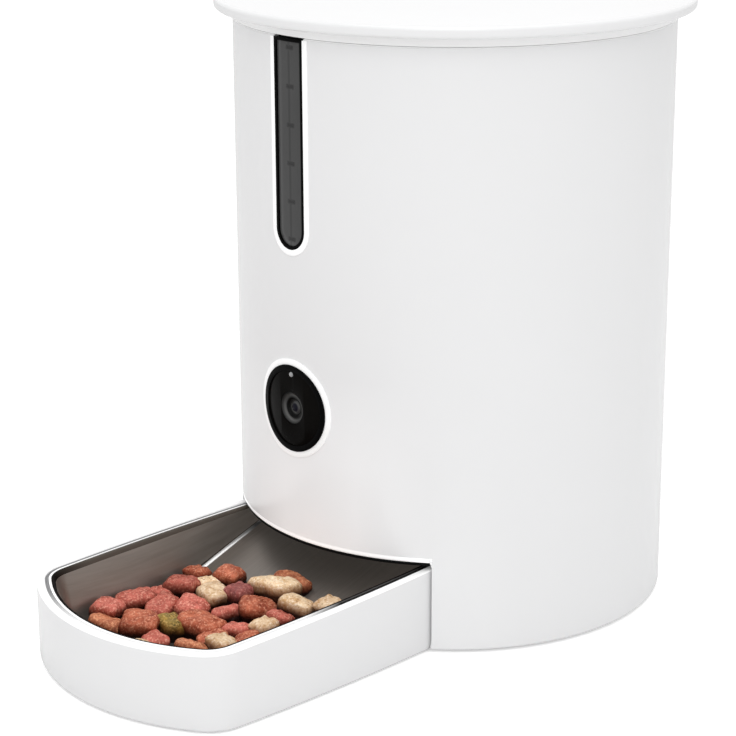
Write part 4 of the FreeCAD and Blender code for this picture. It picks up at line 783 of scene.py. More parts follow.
@cache
def light_guide():
    """Frosted tip of the status light."""
    material, w, shader, where = surface("light_guide")
    cloud = w.noise(where, 1200.0)
    w.feed(shader, Base_Color=w.blend(cloud, (0.27, 0.272, 0.275), (0.33, 0.332, 0.335)),
           Roughness=w.spread(cloud, 0.3, 0.7, 0.2, 0.35), Emission_Strength=0.04,
           Emission_Color=w.blend(cloud, (0.5, 0.55, 0.6), (0.6, 0.65, 0.7)))
    return material


@cache
def food_surface(name, base, crumb, dark):
    """Dry baked food: mottled, pitted and each piece a little different, with painted shade on its under side
    and in its pits.
    """
    material, w, shader, where = surface(name)
    tone, under = (w.add("Attribute", attribute_name=mark).outputs["Fac"] for mark in ("tone", "under"))
    mottle = w.noise(where, 210.0, 4.0, 0.6)
    grain = w.noise(where, 900.0, 3.0, 0.6)
    pits = w.add("TexVoronoi", Scale=520.0, Vector=where).outputs["Distance"]
    baked = w.blend(w.spread(mottle, 0.35, 0.68, 0.0, 1.0), dark, base)
    crumbed = w.blend(w.spread(grain, 0.50, 0.68, 0.0, 0.85), baked, crumb)
    bumps = w.math("ADD", w.times(grain, 0.6), w.times(pits, 0.5))
    # Painted shade: darker towards each piece's under side and in the low parts of its pits, deepened most in
    # green and blue.
    lift = w.times(w.spread(tone, 0.0, 1.0, 0.80, 1.18), w.spread(under, 0.10, 0.58, 1.0, 0.08))
    lift = w.times(lift, w.spread(bumps, 0.30, 0.46, 0.78, 1.0))
    deep = w.add("CombineColor")
    for socket, power, share in zip(deep.inputs[:3], (1.55, 1.9, 2.1), (1.05, 0.92, 0.87)):
        w.put(socket, w.times(w.math("POWER", lift, power), share))
    w.feed(shader, Base_Color=w.blend(1.0, crumbed, deep.outputs[0], "MULTIPLY"), Specular_IOR_Level=0.15,
           Roughness=w.spread(mottle, 0.3, 0.7, 0.42, 0.62), Normal=w.bump(bumps, 0.8, 0.0006))
    return material


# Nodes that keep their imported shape, by finish
NODE_FINISHES = (
    (circuit_board, "camera_board", "main_board"),
    (grey_plastic, "camera_bracket", "drive_deck", "outlet_chute", "gearbox_case", "gearbox_cover",
     "desiccant_cover"),
    (white_satin, "base_plate", "portion_rotor", "rotor_cap", "lid_liner", "desiccant_box"),
    (black_satin, "food_sensor", "reset_switch", "speaker"),
    (cable_sleeve, "camera_cable", "motor_leads"),
    (clear_plastic, "food_hopper", "rotor_chamber", "outlet_baffle"),
    (clear_silicone, "wiper_flap", "lid_seal"),
    (gear_plastic, "output_gear", "idler_gear"),
    (grey_rubber, "tray_feet", "rubber_feet"),
    (bright_steel, "idler_pin"),
    (motor_steel, "drive_motor"),
    (brass, "motor_pinion"),
    (screw_steel, "deck_screws", "motor_screws", "board_screws", "base_screws", "gearbox_screws",
     "bracket_screws"),
)


def dress_nodes():
    """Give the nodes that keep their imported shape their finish."""
    for make, *names in NODE_FINISHES:
        for name in names:
            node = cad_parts[name]
            if not node.material_slots:
                node.data.materials.append(make())
            for place in node.material_slots:
                place.material = make()


# Shapes that more than one piece uses
OPENING_HALF, OPENING_TOP = 64.74, 43.0
PILOT_RADIUS = 1.52
BASE_CIRCLE, BASE_ANGLES = 88.0, (8.0, 52.0, 128.0, 172.0)
DECK_CIRCLE, DECK_ANGLES = 90.0, (30.0, 150.0, 210.0, 330.0)
TRAY_PADS = ((44.0, -188.0), (-44.0, -188.0), (48.0, -112.0), (-48.0, -112.0))
FLOOR_PADS = ((80.0, -25.0), (-80.0, -25.0), (32.0, 76.0), (-32.0, 76.0))
WINDOW_DROP = 0.6
SOCKET_DEPTH = 9.0


def on_circle(radius, degrees):
    turn = math.radians(degrees)
    return radius * math.cos(turn), radius * math.sin(turn)


def place_of(face):
    """A face's middle, in millimetres about the axis."""
    x, y, z = (mm(v) for v in face.center)
    return x, y - AXIS_Y, z


def round_edges(piece, test, radius, segments):
    """In edit mode, bevel the edges that pass a test."""
    pick(piece, "EDGE", test)
    bpy.ops.mesh.bevel(offset=radius * MM, segments=segments, affect="EDGES")


def slot_block(name, half, tip, top, front=80, depth=40, steps=40):
    """A block with the window's outline: straight sides and a round lower end."""
    turns = [math.pi + math.pi * k / steps for k in range(steps + 1)]
    arc = [at(half * math.cos(a), -front, tip + half * math.sin(a)) for a in turns]
    outline = [at(-half, -front, top), *arc, at(half, -front, top)]
    return plate(name, outline, Vector((0, -depth, 0)) * MM)


def strip(name, half, tip, top, inner, outer):
    """The window's outline cut from a curved shell between two radii."""
    slab = slot_block(name, half, tip, top)
    shell = lathe("shell", [(inner, 150), (outer, 150), (outer, 290), (inner, 290)], steps=360)
    return combine(slab, shell, "INTERSECT")


def curved_disc(name, radius, inner, outer):
    """A round disc that follows the body's curve, at the camera's height."""
    disc = rod(name, radius, -115, -70, (0, 0, mm(sizes().camera_height)))
    shell = lathe("shell", [(inner, 70), (outer, 70), (outer, 140), (inner, 140)], steps=360)
    return combine(disc, shell, "INTERSECT")


def camera_bore(name, radius, steps=128, above=0.0):
    """A long rod that cuts a hole through the camera's pieces."""
    return rod(name, radius, -120, -60, (0, 0, mm(sizes().camera_height) + above), steps=steps)


# Round body and lid
def cut_arch(body):
    """The opening over the tray, with its edges rounded."""
    cut(body, brick("opening", (-OPENING_HALF, -130, -10), (OPENING_HALF, -55.4, OPENING_TOP)))
    weld(body, 1e-5)

    def rim(edge):
        if len(edge.link_faces) != 2 or edge.calc_face_angle(0.0) < math.radians(50):
            return False
        m = middle(edge)
        return m.y < (AXIS_Y - 55) * MM and m.z < 44 * MM and abs(m.x) < 67 * MM and m.z > 3 * MM
    with editing(body, "EDGE"):
        round_edges(body, rim, 1.2, 4)


def add_screw_post(body, circle, angle, low, high):
    """A post for one screw, on a web to the body's wall."""
    x, y = on_circle(circle, angle)
    post = lathe("post", [(0, low), (4.5, low, 0.4), (4.3, high, 0.4), (0, high)], (x, y, 0), steps=32)
    web = brick("web", (circle, -1.4, low), (mm(sizes().body_inside) + 1.2, 1.4, high), 0.2)
    with editing(web):
        shape = bmesh.from_edit_mesh(web.data)
        turn = Matrix.Rotation(math.radians(angle), 4, "Z")
        bmesh.ops.rotate(shape, verts=shape.verts, cent=at(0, 0, 0), matrix=turn)
        bmesh.update_edit_mesh(web.data)
    combine(post, web, "UNION")
    combine(body, post, "UNION")


def add_posts(body, ledge, eye_height):
    """Posts for the base, deck, board and camera screws. Returns the rods that drill them."""
    pilots = []
    posts = [(BASE_CIRCLE, a, 5.5, 25.5, 4.5, 15.5) for a in BASE_ANGLES]
    posts += [(DECK_CIRCLE, a, ledge - 16, ledge, ledge - 10, ledge + 1) for a in DECK_ANGLES]
    for circle, angle, low, high, start, end in posts:
        add_screw_post(body, circle, angle, low, high)
        pilots.append(rod("pilot", PILOT_RADIUS, start, end, (*on_circle(circle, angle), 0), "Z", 24))
    for x in (-31.0, 31.0):
        for z in (18.0, 96.0):
            board = lathe("post", [(0, 81.0), (3.5, 81.0, 0.3), (3.5, 93.0), (0, 93.0)], (x, 0, z), "Y", 28)
            combine(body, board, "UNION")
    for x in (-19.0, 19.0):
        place = (x, 0, eye_height)
        post = lathe("post", [(0, -97.4), (4.0, -97.4), (4.0, -84.7, 0.3), (0, -84.7)], place, "Y", 32)
        combine(body, post, "UNION")
        pilots.append(rod("pilot", PILOT_RADIUS, -88.2, -83, place, steps=24))
    return pilots


def model_body():
    """Round shell with its ledge, posts, window slot and the holes of the eye, inlet and button."""
    s = sizes()
    outer, inner, foot, top = (mm(v) for v in (s.body_radius, s.body_inside, s.body_foot, s.body_top))
    edge, ledge, half = mm(s.edge_round), mm(s.ledge_top), mm(s.window_half)
    eye_height, socket = mm(s.camera_height), (0, 0, mm(s.socket_height))
    shelf = inner - 4.5
    levels = (6.0, 24.0, 41.0, 45.3, 60.0, 90.0, 120.0, 150.0, 176.0, 200.0, 225.0, 250.0, 268.0)
    outline = [(inner, foot), (outer, foot, edge), *((outer, z) for z in levels), (outer, top, edge),
               (inner, top, 0.5), (inner, ledge, 0.0), (shelf, ledge, 0.4), (shelf, ledge - 3.0, 0.8),
               (inner, ledge - 7.5, 1.5)]
    body = lathe("body_shell", outline, steps=360)
    cut_arch(body)
    tools = [slot_block("slot", half, mm(s.window_tip), 290, 90, 30, 32),
             rod("eye", mm(s.camera_radius - s.camera_ring), -115, -80, (0, 0, eye_height), steps=96),
             lathe("inlet", [(0, 89), (5.2, 89), (5.2, 101.0), (6.0, 102.0), (0, 102.0)], socket, "Y", 64),
             lathe("button", [(0, 81), (3.9, 81), (3.9, 98.1), (4.5, 98.7), (4.5, 103), (0, 103)],
                   (24, 0, socket[2]), "Y", 48)]
    tools += add_posts(body, ledge, eye_height)
    clear = 0.6
    tools.append(brick("notch", (-25, clear - inner, ledge - 11), (25, -60, ledge + 1)))
    cut(body, *tools)
    tidy(body, 2e-6)
    apply(body, "WEIGHTED_NORMAL", keep_sharp=True, weight=80)
    # Painted highlight: the band along the arch's edge and the faces at the top edge take a lighter white
    # that glows.
    finishes = (body_white(), highlight_white("arch_highlight", 0.36), highlight_white("seam_highlight", 0.07))
    finish_piece(body, "housing", finishes, "white_gloss", "outer_housing")
    for face in body.data.polygons:
        x, y, z = place_of(face)
        arch = 42.9 < z < 45.3 and abs(x) < OPENING_HALF + 0.6 and y < -60 and math.hypot(x, y) > inner + 1.0
        face.material_index = 2 if z > top - 0.35 else int(arch)


def model_painted_edges():
    """White lips of painted highlight round the camera hole and the window slot, and a black strip behind the
    arch that paints the shade under its edge.
    """
    s = sizes()
    outer, radius, half = mm(s.body_radius), mm(s.camera_radius), mm(s.window_half)
    tip, high = mm(s.window_tip), mm(s.body_top) - WINDOW_DROP
    collar = curved_disc("camera_highlight_ring", radius + 2.7, outer - 0.2, outer + 0.5)
    cut(collar, camera_bore("bore", radius - 0.1))
    surround = strip("window_highlight_ring", half + 2.3, tip, high, outer - 0.2, outer + 0.4)
    cut(surround, slot_block("hole", half - 0.3, tip, high + 5))
    # Painted highlight: both lips are a lighter white with an emission that glows.
    for seat in (collar, surround):
        soft_edges(seat, 0.2)
        finish_piece(seat, "housing", highlight_white(), "white_gloss")
    # Painted shadow: a black strip hung behind the arch's edge draws the shade beneath it.
    face, back, low, top = outer - 0.8, outer - 2.2, 41.5, OPENING_TOP + 0.6
    shade_strip = lathe("arch_shadow_strip", [(back, low), (face, low, 0.4), (face, top), (back, top)], steps=360)
    reach = OPENING_HALF - 0.54
    combine(shade_strip, brick("reach", (-reach, -130, 40), (reach, -70, 44)), "INTERSECT")
    tidy(shade_strip, 2e-6)
    finish_piece(shade_strip, "housing", shadow_strip_black(), "grey_rubber")


def model_lid():
    """Flat lid with its lower ring, and painted highlights on the ring's faces."""
    s = sizes()
    top, flange, ring = mm(s.lid_top), mm(s.lid_flange_bottom), mm(s.lid_ring_bottom)
    edge, outer, inner, under = mm(s.lid_radius) - 0.02, mm(s.body_radius), mm(s.body_inside) + 0.6, top - 2.4
    outline = [(0, top), (edge, top, 1.7), (edge, flange, 1.6), (outer, flange, 0.35), (outer, ring, 0.5),
               (inner, ring, 0.4), (inner, under, 0.8), (0, under)]
    lid = lathe("lid_cap", outline, steps=360, corner_steps=6)
    tidy(lid)
    # Painted highlight: the ring's faces take a lighter white, and the faces under it glow faintly.
    finishes = (white_shell(), highlight_white("lid_ring_highlight", 0.0), highlight_white("seam_highlight", 0.07))
    finish_piece(lid, "lid", finishes, "white_gloss", "lid_shell")
    for face in lid.data.polygons:
        x, y, z = place_of(face)
        if z < flange - 0.1 and math.hypot(x, y) > inner + 0.2:
            face.material_index = 2 if face.normal.z < -0.4 else 1


# Bowl tray
RIM_TILT = math.radians(1.58)


def tray_outline(inset, points_per_arc=18, side_points=10):
    """Plan of the tray, drawn in from its outer face: bowed front, round corners and bowed sides."""
    front_r, side_r, corner_r, back = 100.0, 1200.0, 20.0, 56.0
    front_c = Vector((0.0, front_r - mm(sizes().tray_reach)))
    side_c = Vector((66.0 - side_r, -150.0))
    line = side_c - front_c
    to_front, to_side = front_r - corner_r, side_r - corner_r
    along = (to_front ** 2 - to_side ** 2 + line.length ** 2) / (2 * line.length)
    across = math.sqrt(to_front ** 2 - along ** 2)
    unit = line.normalized()
    corner = front_c + unit * along + Vector((-unit.y, unit.x)) * across
    start = (corner - front_c).normalized()
    end = (corner - side_c).normalized()
    shares = [k / points_per_arc for k in range(points_per_arc + 1)]
    half_front = math.atan2(start.x, -start.y)
    right = [front_c + Vector((math.sin(half_front * t), -math.cos(half_front * t))) * (front_r - inset)
             for t in shares]
    a0, a1 = math.atan2(start.y, start.x), math.atan2(end.y, end.x)
    for a in (a0 + (a1 - a0) * t for t in shares[1:]):
        right.append(corner + Vector((math.cos(a), math.sin(a))) * (corner_r - inset))
    y0 = right[-1].y
    for k in range(1, side_points + 1):
        y = y0 + (-(back + inset) - y0) * k / side_points
        right.append(Vector((side_c.x + math.sqrt((side_r - inset) ** 2 - (y - side_c.y) ** 2), y)))
    left = [Vector((-p.x, p.y)) for p in reversed(right[1:])]
    return [(p.x, p.y) for p in right + left]


def rim_plane():
    """A point and the normal of the tray's tilted rim."""
    s = sizes()
    point = at(0, -mm(s.tray_reach), mm(s.tray_rim))
    return point, Vector((0, -math.sin(RIM_TILT), math.cos(RIM_TILT)))


def model_tray():
    """White tray: a rim, a step that carries the bowl's flange, an open inside and pockets for the pads."""
    s = sizes()
    foot = mm(s.tray_foot)
    step, shelf, floor = 1.2, 3.0, foot + 3.0
    point, normal = rim_plane()
    tray = plate("tray_shell", [at(x, y, foot) for x, y in tray_outline(0)], Vector((0, 0, 50)) * MM)

    def above(place):
        return (place - point).dot(normal)

    def cut_face(face):
        return abs(above(middle(face))) < 1e-6 and abs(face.normal.dot(normal)) > 0.99

    def foot_edge(edge):
        return all(abs(v.co.z - foot * MM) < 1e-6 for v in edge.verts) and edge.calc_face_angle(0.0) > 1.0

    def rim_edge(edge):
        return all(abs(above(v.co)) < 1e-6 for v in edge.verts) and edge.calc_face_angle(0.0) > 1.0

    def upright_edge(edge):
        a, b = (v.co for v in edge.verts)
        upright = abs(a.x - b.x) < 1e-6 and abs(a.y - b.y) < 1e-6 and abs(a.z - b.z) > 0.02
        return upright and a.y > (AXIS_Y - 56.2) * MM and abs(a.x) > 0.05

    with editing(tray):
        bpy.ops.mesh.bisect(plane_co=point, plane_no=normal, use_fill=True, clear_outer=True)
        pick(tray, "FACE", cut_face)
        bpy.ops.mesh.inset(thickness=s.rim_width)
        push(normal * -step * MM)
        bpy.ops.mesh.inset(thickness=shelf * MM)
        push((0, 0, -0.02))
        bpy.ops.transform.resize(value=(1, 1, 0), center_override=at(0, 0, floor))
        face_outwards()
        round_edges(tray, foot_edge, 1.5, 5)
        round_edges(tray, rim_edge, 0.6, 4)
    for x in (-35.0, 35.0):
        cut(tray, lathe("hole", [(0, -66), (2.8, -66), (2.8, -56.4), (3.3, -55.5), (0, -55.5)], (x, 0, 15.0),
                        "Y", 40))
    for x, y in TRAY_PADS:
        cut(tray, rod("pocket", 5.05, -1.0, 1.5, (x, y, 0), "Z", 48))
    with editing(tray, "EDGE"):
        round_edges(tray, upright_edge, 0.5, 3)
    tidy(tray, 2e-6)
    # Painted highlight: the rim's faces take the lighter white that glows.
    finish_piece(tray, "tray", (tray_white(), highlight_white()), "white_gloss", "bowl_tray")
    for face in tray.data.polygons:
        face.material_index = int(above(face.center) > -0.0006)


# Steel bowl
STEEL, PAINTED_BRIGHT, SHADED, SEAM, RAMP = range(5)
FLANGE_INSET, WALL_INSET = 4.3, 16.0
FLOOR_RINGS = 12


def ramp_height(y):
    """Height of the bowl's inner surface: a flat floor that turns softly into the ramp."""
    floor, soft = mm(sizes().bowl_floor), 3.0
    ramp = 34.0 + (y + 65.5) * math.tan(math.radians(19))
    overlap = max(soft - abs(ramp - floor), 0.0) / soft
    return max(floor, ramp) + overlap * overlap * soft / 4


def bowl_profile(foot, inward):
    """Points from the flange's edge to the floor, as (place, height, finish of the band above it)."""
    s = sizes()
    edge, mouth, fold = 8.0, 1.1, 1.5
    lean = 8.0 / (mm(s.tray_rim) - mm(s.bowl_floor))
    bend = math.pi / 2 - math.atan(lean)
    run = math.tan(bend / 2)

    def place(inset):
        return foot + inward * (inset - FLANGE_INSET)

    def top(inset):
        return mm(s.tray_rim) + (place(inset).y + mm(s.tray_reach)) * math.tan(RIM_TILT) - 0.4

    def ramp(inset):
        return ramp_height(place(inset).y)

    base = 14.0
    for _ in range(4):
        base = edge + lean * (top(edge) - ramp(base))
    lip = edge - run * mouth
    # The flange and the fold into the floor carry the painted reflection; the mouth's turn carries painted
    # shade.
    points = [(FLANGE_INSET, top(FLANGE_INSET) - 0.1, STEEL), (4.5, top(4.5) - 0.45, SEAM),
              (5.2, top(5.2) - 0.45, SEAM), (5.5, top(5.5), SEAM), (6.1, top(6.1), PAINTED_BRIGHT),
              (lip - 0.6, top(edge), PAINTED_BRIGHT)]
    for k in range(6):
        turn = bend * k / 5
        points.append((lip + mouth * math.sin(turn), top(edge) - mouth * (1 - math.cos(turn)), SHADED))
    start = points[-1][:2]
    end = (base - run * fold * math.cos(bend), ramp(base) + run * fold * math.sin(bend))
    for k, finish in ((0.05, SHADED), (0.3, STEEL), (0.6, STEEL), (0.8, STEEL), (0.95, STEEL)):
        points.append((start[0] + (end[0] - start[0]) * k, start[1] + (end[1] - start[1]) * k, finish))
    for k in range(7):
        turn = bend * (1 - k / 6)
        inset = base + run * fold - fold * math.sin(turn)
        points.append((inset, ramp(inset) + fold * (1 - math.cos(turn)), PAINTED_BRIGHT if k else SHADED))
    return [(place(d), z, finish) for d, z, finish in points]


def bowl_columns():
    """Lines of points from the flange to the middle of the floor, and the finish of each band."""
    columns = []
    for first, second in zip(tray_outline(FLANGE_INSET, 18, 40), tray_outline(WALL_INSET, 18, 40)):
        foot, inward = Vector(first), (Vector(second) - Vector(first)) / (WALL_INSET - FLANGE_INSET)
        column = bowl_profile(foot, inward)
        bands = [finish for _, _, finish in column] + [RAMP] * FLOOR_RINGS
        start = column[-1][0]
        spine = Vector((0.0, min(max(start.y, -185.0), -84.0)))
        for k in range(1, FLOOR_RINGS + 1):
            spot = start.lerp(spine, (k / FLOOR_RINGS) ** 0.9)
            column.append((spot, ramp_height(spot.y), RAMP))
        columns.append([at(spot.x, spot.y, z) for spot, z, _ in column])
    return columns, bands


def model_bowl():
    """Drawn steel insert: flat flange, sloped walls, soft folds, flat floor and a ramp at the back."""
    columns, bands = bowl_columns()
    # Painted shade: the floor and ramp take a darker copy of the brushed steel.
    finishes = (brushed_steel(), painted_bright_rim(), shaded_steel(), seam_grey(),
                brushed_steel("shaded_ramp_steel", 0.62))
    bowl = trace("bowl_insert", [column[0] for column in columns + columns[:1]])
    for finish in finishes:
        bowl.data.materials.append(finish)
    with editing(bowl, "VERT"):
        bpy.ops.mesh.remove_doubles(threshold=1e-6)
        for level in range(1, len(columns[0])):
            made = len(bmesh.from_edit_mesh(bowl.data).faces)
            bpy.ops.mesh.select_mode(type="EDGE")
            bpy.ops.mesh.extrude_edges_move(TRANSFORM_OT_translate={"value": (0, 0, -0.2)})
            bpy.ops.mesh.select_mode(type="VERT")
            shape = bmesh.from_edit_mesh(bowl.data)
            below = {(round(c[level - 1].x, 6), round(c[level - 1].y, 6)): c[level] for c in columns}
            for v in shape.verts:
                if v.select:
                    v.co = below[(round(v.co.x, 6), round(v.co.y, 6))]
            shape.faces.ensure_lookup_table()
            for face in shape.faces[made:]:
                face.material_index = bands[level]
            bmesh.update_edit_mesh(bowl.data)
        bpy.ops.mesh.select_all(action="SELECT")
        bpy.ops.mesh.remove_doubles(threshold=2e-5)
        bpy.ops.mesh.normals_make_consistent(inside=False)
    flange = max(bowl.data.polygons, key=lambda face: face.center.z)
    if flange.normal.z < 0:
        with editing(bowl):
            bpy.ops.mesh.flip_normals()
    apply(bowl, "SOLIDIFY", thickness=sizes().bowl_sheet, offset=-1.0, use_even_offset=True)
    tidy(bowl, 1e-7, 40.0)
    bands = [face.material_index for face in bowl.data.polygons]
    finish_piece(bowl, "tray", finishes, "brushed_bowl", "steel_bowl")
    bowl.data.polygons.foreach_set("material_index", bands)


# Level window
def model_window():
    """Black frame with its inner flange, and the smoked pane in it."""
    s = sizes()
    half, tip, top = mm(s.window_half), mm(s.window_tip), mm(s.body_top) - WINDOW_DROP
    outer, inside, border, lintel = mm(s.body_radius), mm(s.body_inside), 1.9, 1.3
    rim = strip("window_rim", half - 0.05, tip, top, inside, outer + 0.3)
    combine(rim, strip("flange", half + 2.6, tip, top, inside - 1.4, inside + 0.01), "UNION")
    cut(rim, slot_block("hole", half - border, tip, top - lintel))
    soft_edges(rim, 0.22)
    finish_piece(rim, "housing", black_gloss(), "black_gloss", "window_frame")
    pane = strip("window_pane", half - border, tip, top - lintel, outer - 2.1, outer - 0.5)
    tidy(pane, 2e-6)
    finish_piece(pane, "housing", window_smoke(), "smoked_window", "level_window")


# Camera eye
def model_camera():
    """Ring, cover, lens tube and lens, and the tip of the status light."""
    s = sizes()
    height, outer = mm(s.camera_height), mm(s.body_radius)
    centre = (0, 0, height)
    face, bore = outer + 0.6, mm(s.camera_radius) - mm(s.camera_ring)
    ring = curved_disc("camera_ring", mm(s.camera_radius), outer, outer + 1.0)
    cut(ring, camera_bore("bore", bore))
    soft_edges(ring, 0.3, 3)
    finish_piece(ring, "housing", black_gloss(), "black_gloss", "camera_bezel")
    cover = curved_disc("camera_face", bore, mm(s.body_inside), face)
    light_above, tube_radius = 15.9, 7.6
    cut(cover, camera_bore("hole", tube_radius, 96), camera_bore("pip", 1.0, 32, light_above))
    soft_edges(cover, 0.12)
    finish_piece(cover, "housing", eye_gloss(), "black_gloss", "camera_cover")
    base, depth = face - 12.6, 12.3
    outline = [(2.8, 0), (6.0, 0), (6.0, 6.3), (tube_radius, 6.3), (tube_radius, depth, 0.25),
               (7.0, depth, 0.15), (6.7, depth - 0.5), (5.4, depth - 1.3, 0.3), (5.2, depth - 1.0, 0.2),
               (4.6, depth - 1.1, 0.2), (4.0, depth - 1.9, 0.3), (3.4, depth - 1.9, 0.1), (2.8, depth - 2.4)]
    barrel = lathe("camera_tube", [(p[0], -base - p[1], *p[2:]) for p in outline], centre, "Y", 128)
    tidy(barrel)
    finish_piece(barrel, "housing", barrel_black(), "black_satin", "camera_barrel")
    front, dome_r, lens_r = 1.5 - face, 4.0, 2.8
    dome = [(0, front)] + [(dome_r * math.sin(a), front + dome_r - dome_r * math.cos(a))
                           for a in (0.0755 * k for k in range(1, 11))]
    dome += [(lens_r, front + 1.3), (lens_r, front + 9.0, 0.2), (0, front + 9.0)]
    lens = lathe("camera_glass", dome, centre, "Y", 64)
    tidy(lens, 1e-6, 40.0)
    finish_piece(lens, "housing", lens_glass(), "lens_glass", "camera_lens")
    tip, pip_r, stem_r = -(face + 0.1), 1.15, 0.99
    pip = [(pip_r * math.sin(a), tip - 0.75 * math.cos(a)) for a in (math.pi / 2 * k / 8 for k in range(9))]
    pip += [(pip_r, tip + 0.15), (stem_r, tip + 0.15), (stem_r, tip + 12.6, 0.1), (0, tip + 12.6)]
    light = lathe("status_light", pip, (0, 0, height + light_above), "Y", 32)
    tidy(light)
    finish_piece(light, "housing", light_guide(), "light_guide", "status_light_guide")


# Socket and button at the back
def model_controls():
    """Power socket with its centre pin, and the reset button."""
    height = mm(sizes().socket_height)
    centre = (0, 0, height)
    shoulder, mouth = 95.5, 101.0
    bottom = mouth - SOCKET_DEPTH
    housing = brick("power_socket", (-4.5, 81.0, height - 5.5), (4.5, shoulder, height + 5.5), 0.3)
    collar = lathe("collar", [(0, shoulder - 1), (5.1, shoulder - 1), (5.1, mouth, 0.35), (0, mouth)], centre,
                   "Y", 64)
    combine(housing, collar, "UNION")
    cut(housing, lathe("bore", [(0, bottom), (3.2, bottom), (3.2, mouth - 0.5), (3.7, mouth + 0.01),
                                (3.7, mouth + 2), (0, mouth + 2)], centre, "Y", 64))
    tidy(housing)
    finish_piece(housing, "housing", black_satin(), "black_satin", "power_inlet")
    pin_tip = mouth - 1.2
    outline = [(0, bottom), (1.0, bottom), (1.0, pin_tip, 0.5), (0, pin_tip)]
    pin = lathe("socket_pin", outline, centre, "Y", 32)
    tidy(pin)
    finish_piece(pin, "housing", bright_steel(), "bright_steel")
    low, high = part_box("reset_button")
    back, stem_end = mm(high.y) - AXIS_Y, mm(low.y) - AXIS_Y
    outline = [(0, back - 0.5), (1.6, back - 0.42, 0.3), (2.9, back, 0.4), (3.6, back - 0.35, 0.3),
               (3.6, back - 5.2), (5.0, back - 5.2, 0.2), (5.0, back - 6.7, 0.2), (1.8, back - 6.7),
               (1.8, stem_end, 0.3), (0, stem_end)]
    cap = lathe("button_cap", outline, (24.0, 0, height), "Y", 48)
    tidy(cap)
    finish_piece(cap, "button", grey_plastic(), "grey_plastic", "reset_button")


# Screws and feet
def recess(x, y, z, depth, up):
    """Two crossed blades that cut a screw's recess."""
    low, high = (z - depth, z + 1) if up else (z - 1, z + depth)
    first, second = (brick("recess", (x - wide, y - narrow, low), (x + wide, y + narrow, high))
                     for wide, narrow in ((1.7, 0.38), (0.38, 1.7)))
    return combine(first, second, "UNION")


def model_screws():
    """Pan head screws with a cross recess, in the places of each group of screws."""
    deck_seat = mm(sizes().ledge_top) + 3.0
    for name, node, circle, angles, seat, up in (
            ("base_screw_set", "base_screws", BASE_CIRCLE, BASE_ANGLES, 3.7, False),
            ("deck_screw_set", "deck_screws", DECK_CIRCLE, DECK_ANGLES, deck_seat, True)):
        sign = 1 if up else -1
        top = seat + 1.8 * sign
        outline = [(0, top), (2.1, top, 0.4), (2.9, seat + 0.9 * sign, 0.4), (2.9, seat, 0.1), (1.5, seat),
                   (1.5, seat - 9.2 * sign), (0, seat - 10.0 * sign)]
        made = []
        for x, y in (on_circle(circle, angle) for angle in angles):
            screw = lathe(name, outline, (x, y, 0), steps=32)
            made.append(cut(screw, recess(x, y, top, 1.1, up)))
        screws = tidy(join(made, name), 1e-7)
        finish_piece(screws, "housing", screw_steel(), "screw_steel", node)


def model_feet():
    """Round rubber pads with a shallow hollow."""
    for name, node, body, radius, top, places in (
            ("floor_pads", "rubber_feet", "housing", 7.0, 2.5, FLOOR_PADS),
            ("tray_pads", "tray_feet", "tray", 5.0, 1.5, TRAY_PADS)):
        outline = [(0, top), (radius, top, 0.2), (radius, 0.0, 0.6), (radius - 1.6, 0.0, 0.1),
                   (radius - 1.9, 0.35, 0.1), (0, 0.35)]
        pads = join([lathe(name, outline, (x, y, 0), steps=48) for x, y in places], name)
        tidy(pads, 1e-7)
        finish_piece(pads, body, grey_rubber(), "grey_rubber", node)


# Food in the bowl
FOOD_SHAPES = ((8.5, 7.5, 5.8), (7.8, 7.4, 5.9), (8.9, 6.8, 5.4), (13.8, 7.0, 5.5), (10.2, 7.1, 5.5))
# The pieces on top of the heap: shape, colour, place over the bowl, turn in degrees and scale.
FOOD_ON_TOP = (
    (0, "red", -43, -177, 16, 20, 0.90), (4, "red", -43, -161, 16, 75, 0.92),
    (1, "red", -41, -148, 15, 10, 0.80), (4, "red", -30, -156, 15, 110, 0.88),
    (1, "olive", -14, -164, 13.5, 0, 0.92), (4, "brown", -34, -184, 13, 25, 0.85),
    (0, "rust", -22, -175, 14.5, 40, 1.08), (0, "red", -38, -138, 17, 30, 1.02),
    (1, "rust", -43, -125, 18.5, 0, 0.78), (4, "pale", -33, -126, 17, 60, 0.70),
    (0, "rust", -28, -118, 20, 15, 0.84), (2, "pale", -21, -133, 17, -15, 0.98),
    (0, "red", -20, -147, 14.5, 20, 0.95), (1, "plum", -11, -126, 18.5, 0, 0.90),
    (3, "pale", 2, -116, 22.5, -4, 1.04), (4, "brown", 4, -107, 23, 0, 0.84),
    (2, "rust", 6, -129, 17.5, 50, 0.98), (2, "pale", 22, -120, 21, 20, 0.92),
    (1, "pale", 36, -113, 23, 0, 0.80), (4, "rust", -4, -154, 13.5, 10, 1.04),
    (1, "red", 11, -146, 13, 30, 0.82), (1, "pale", 20, -137, 15, 0, 0.86),
    (2, "red", -4, -139, 15, 60, 0.78), (2, "red", 21, -129, 17.5, 0, 0.74),
    (1, "pale", 17, -160, 13, 0, 0.85), (2, "rust", 9, -158, 12.5, 80, 0.75))


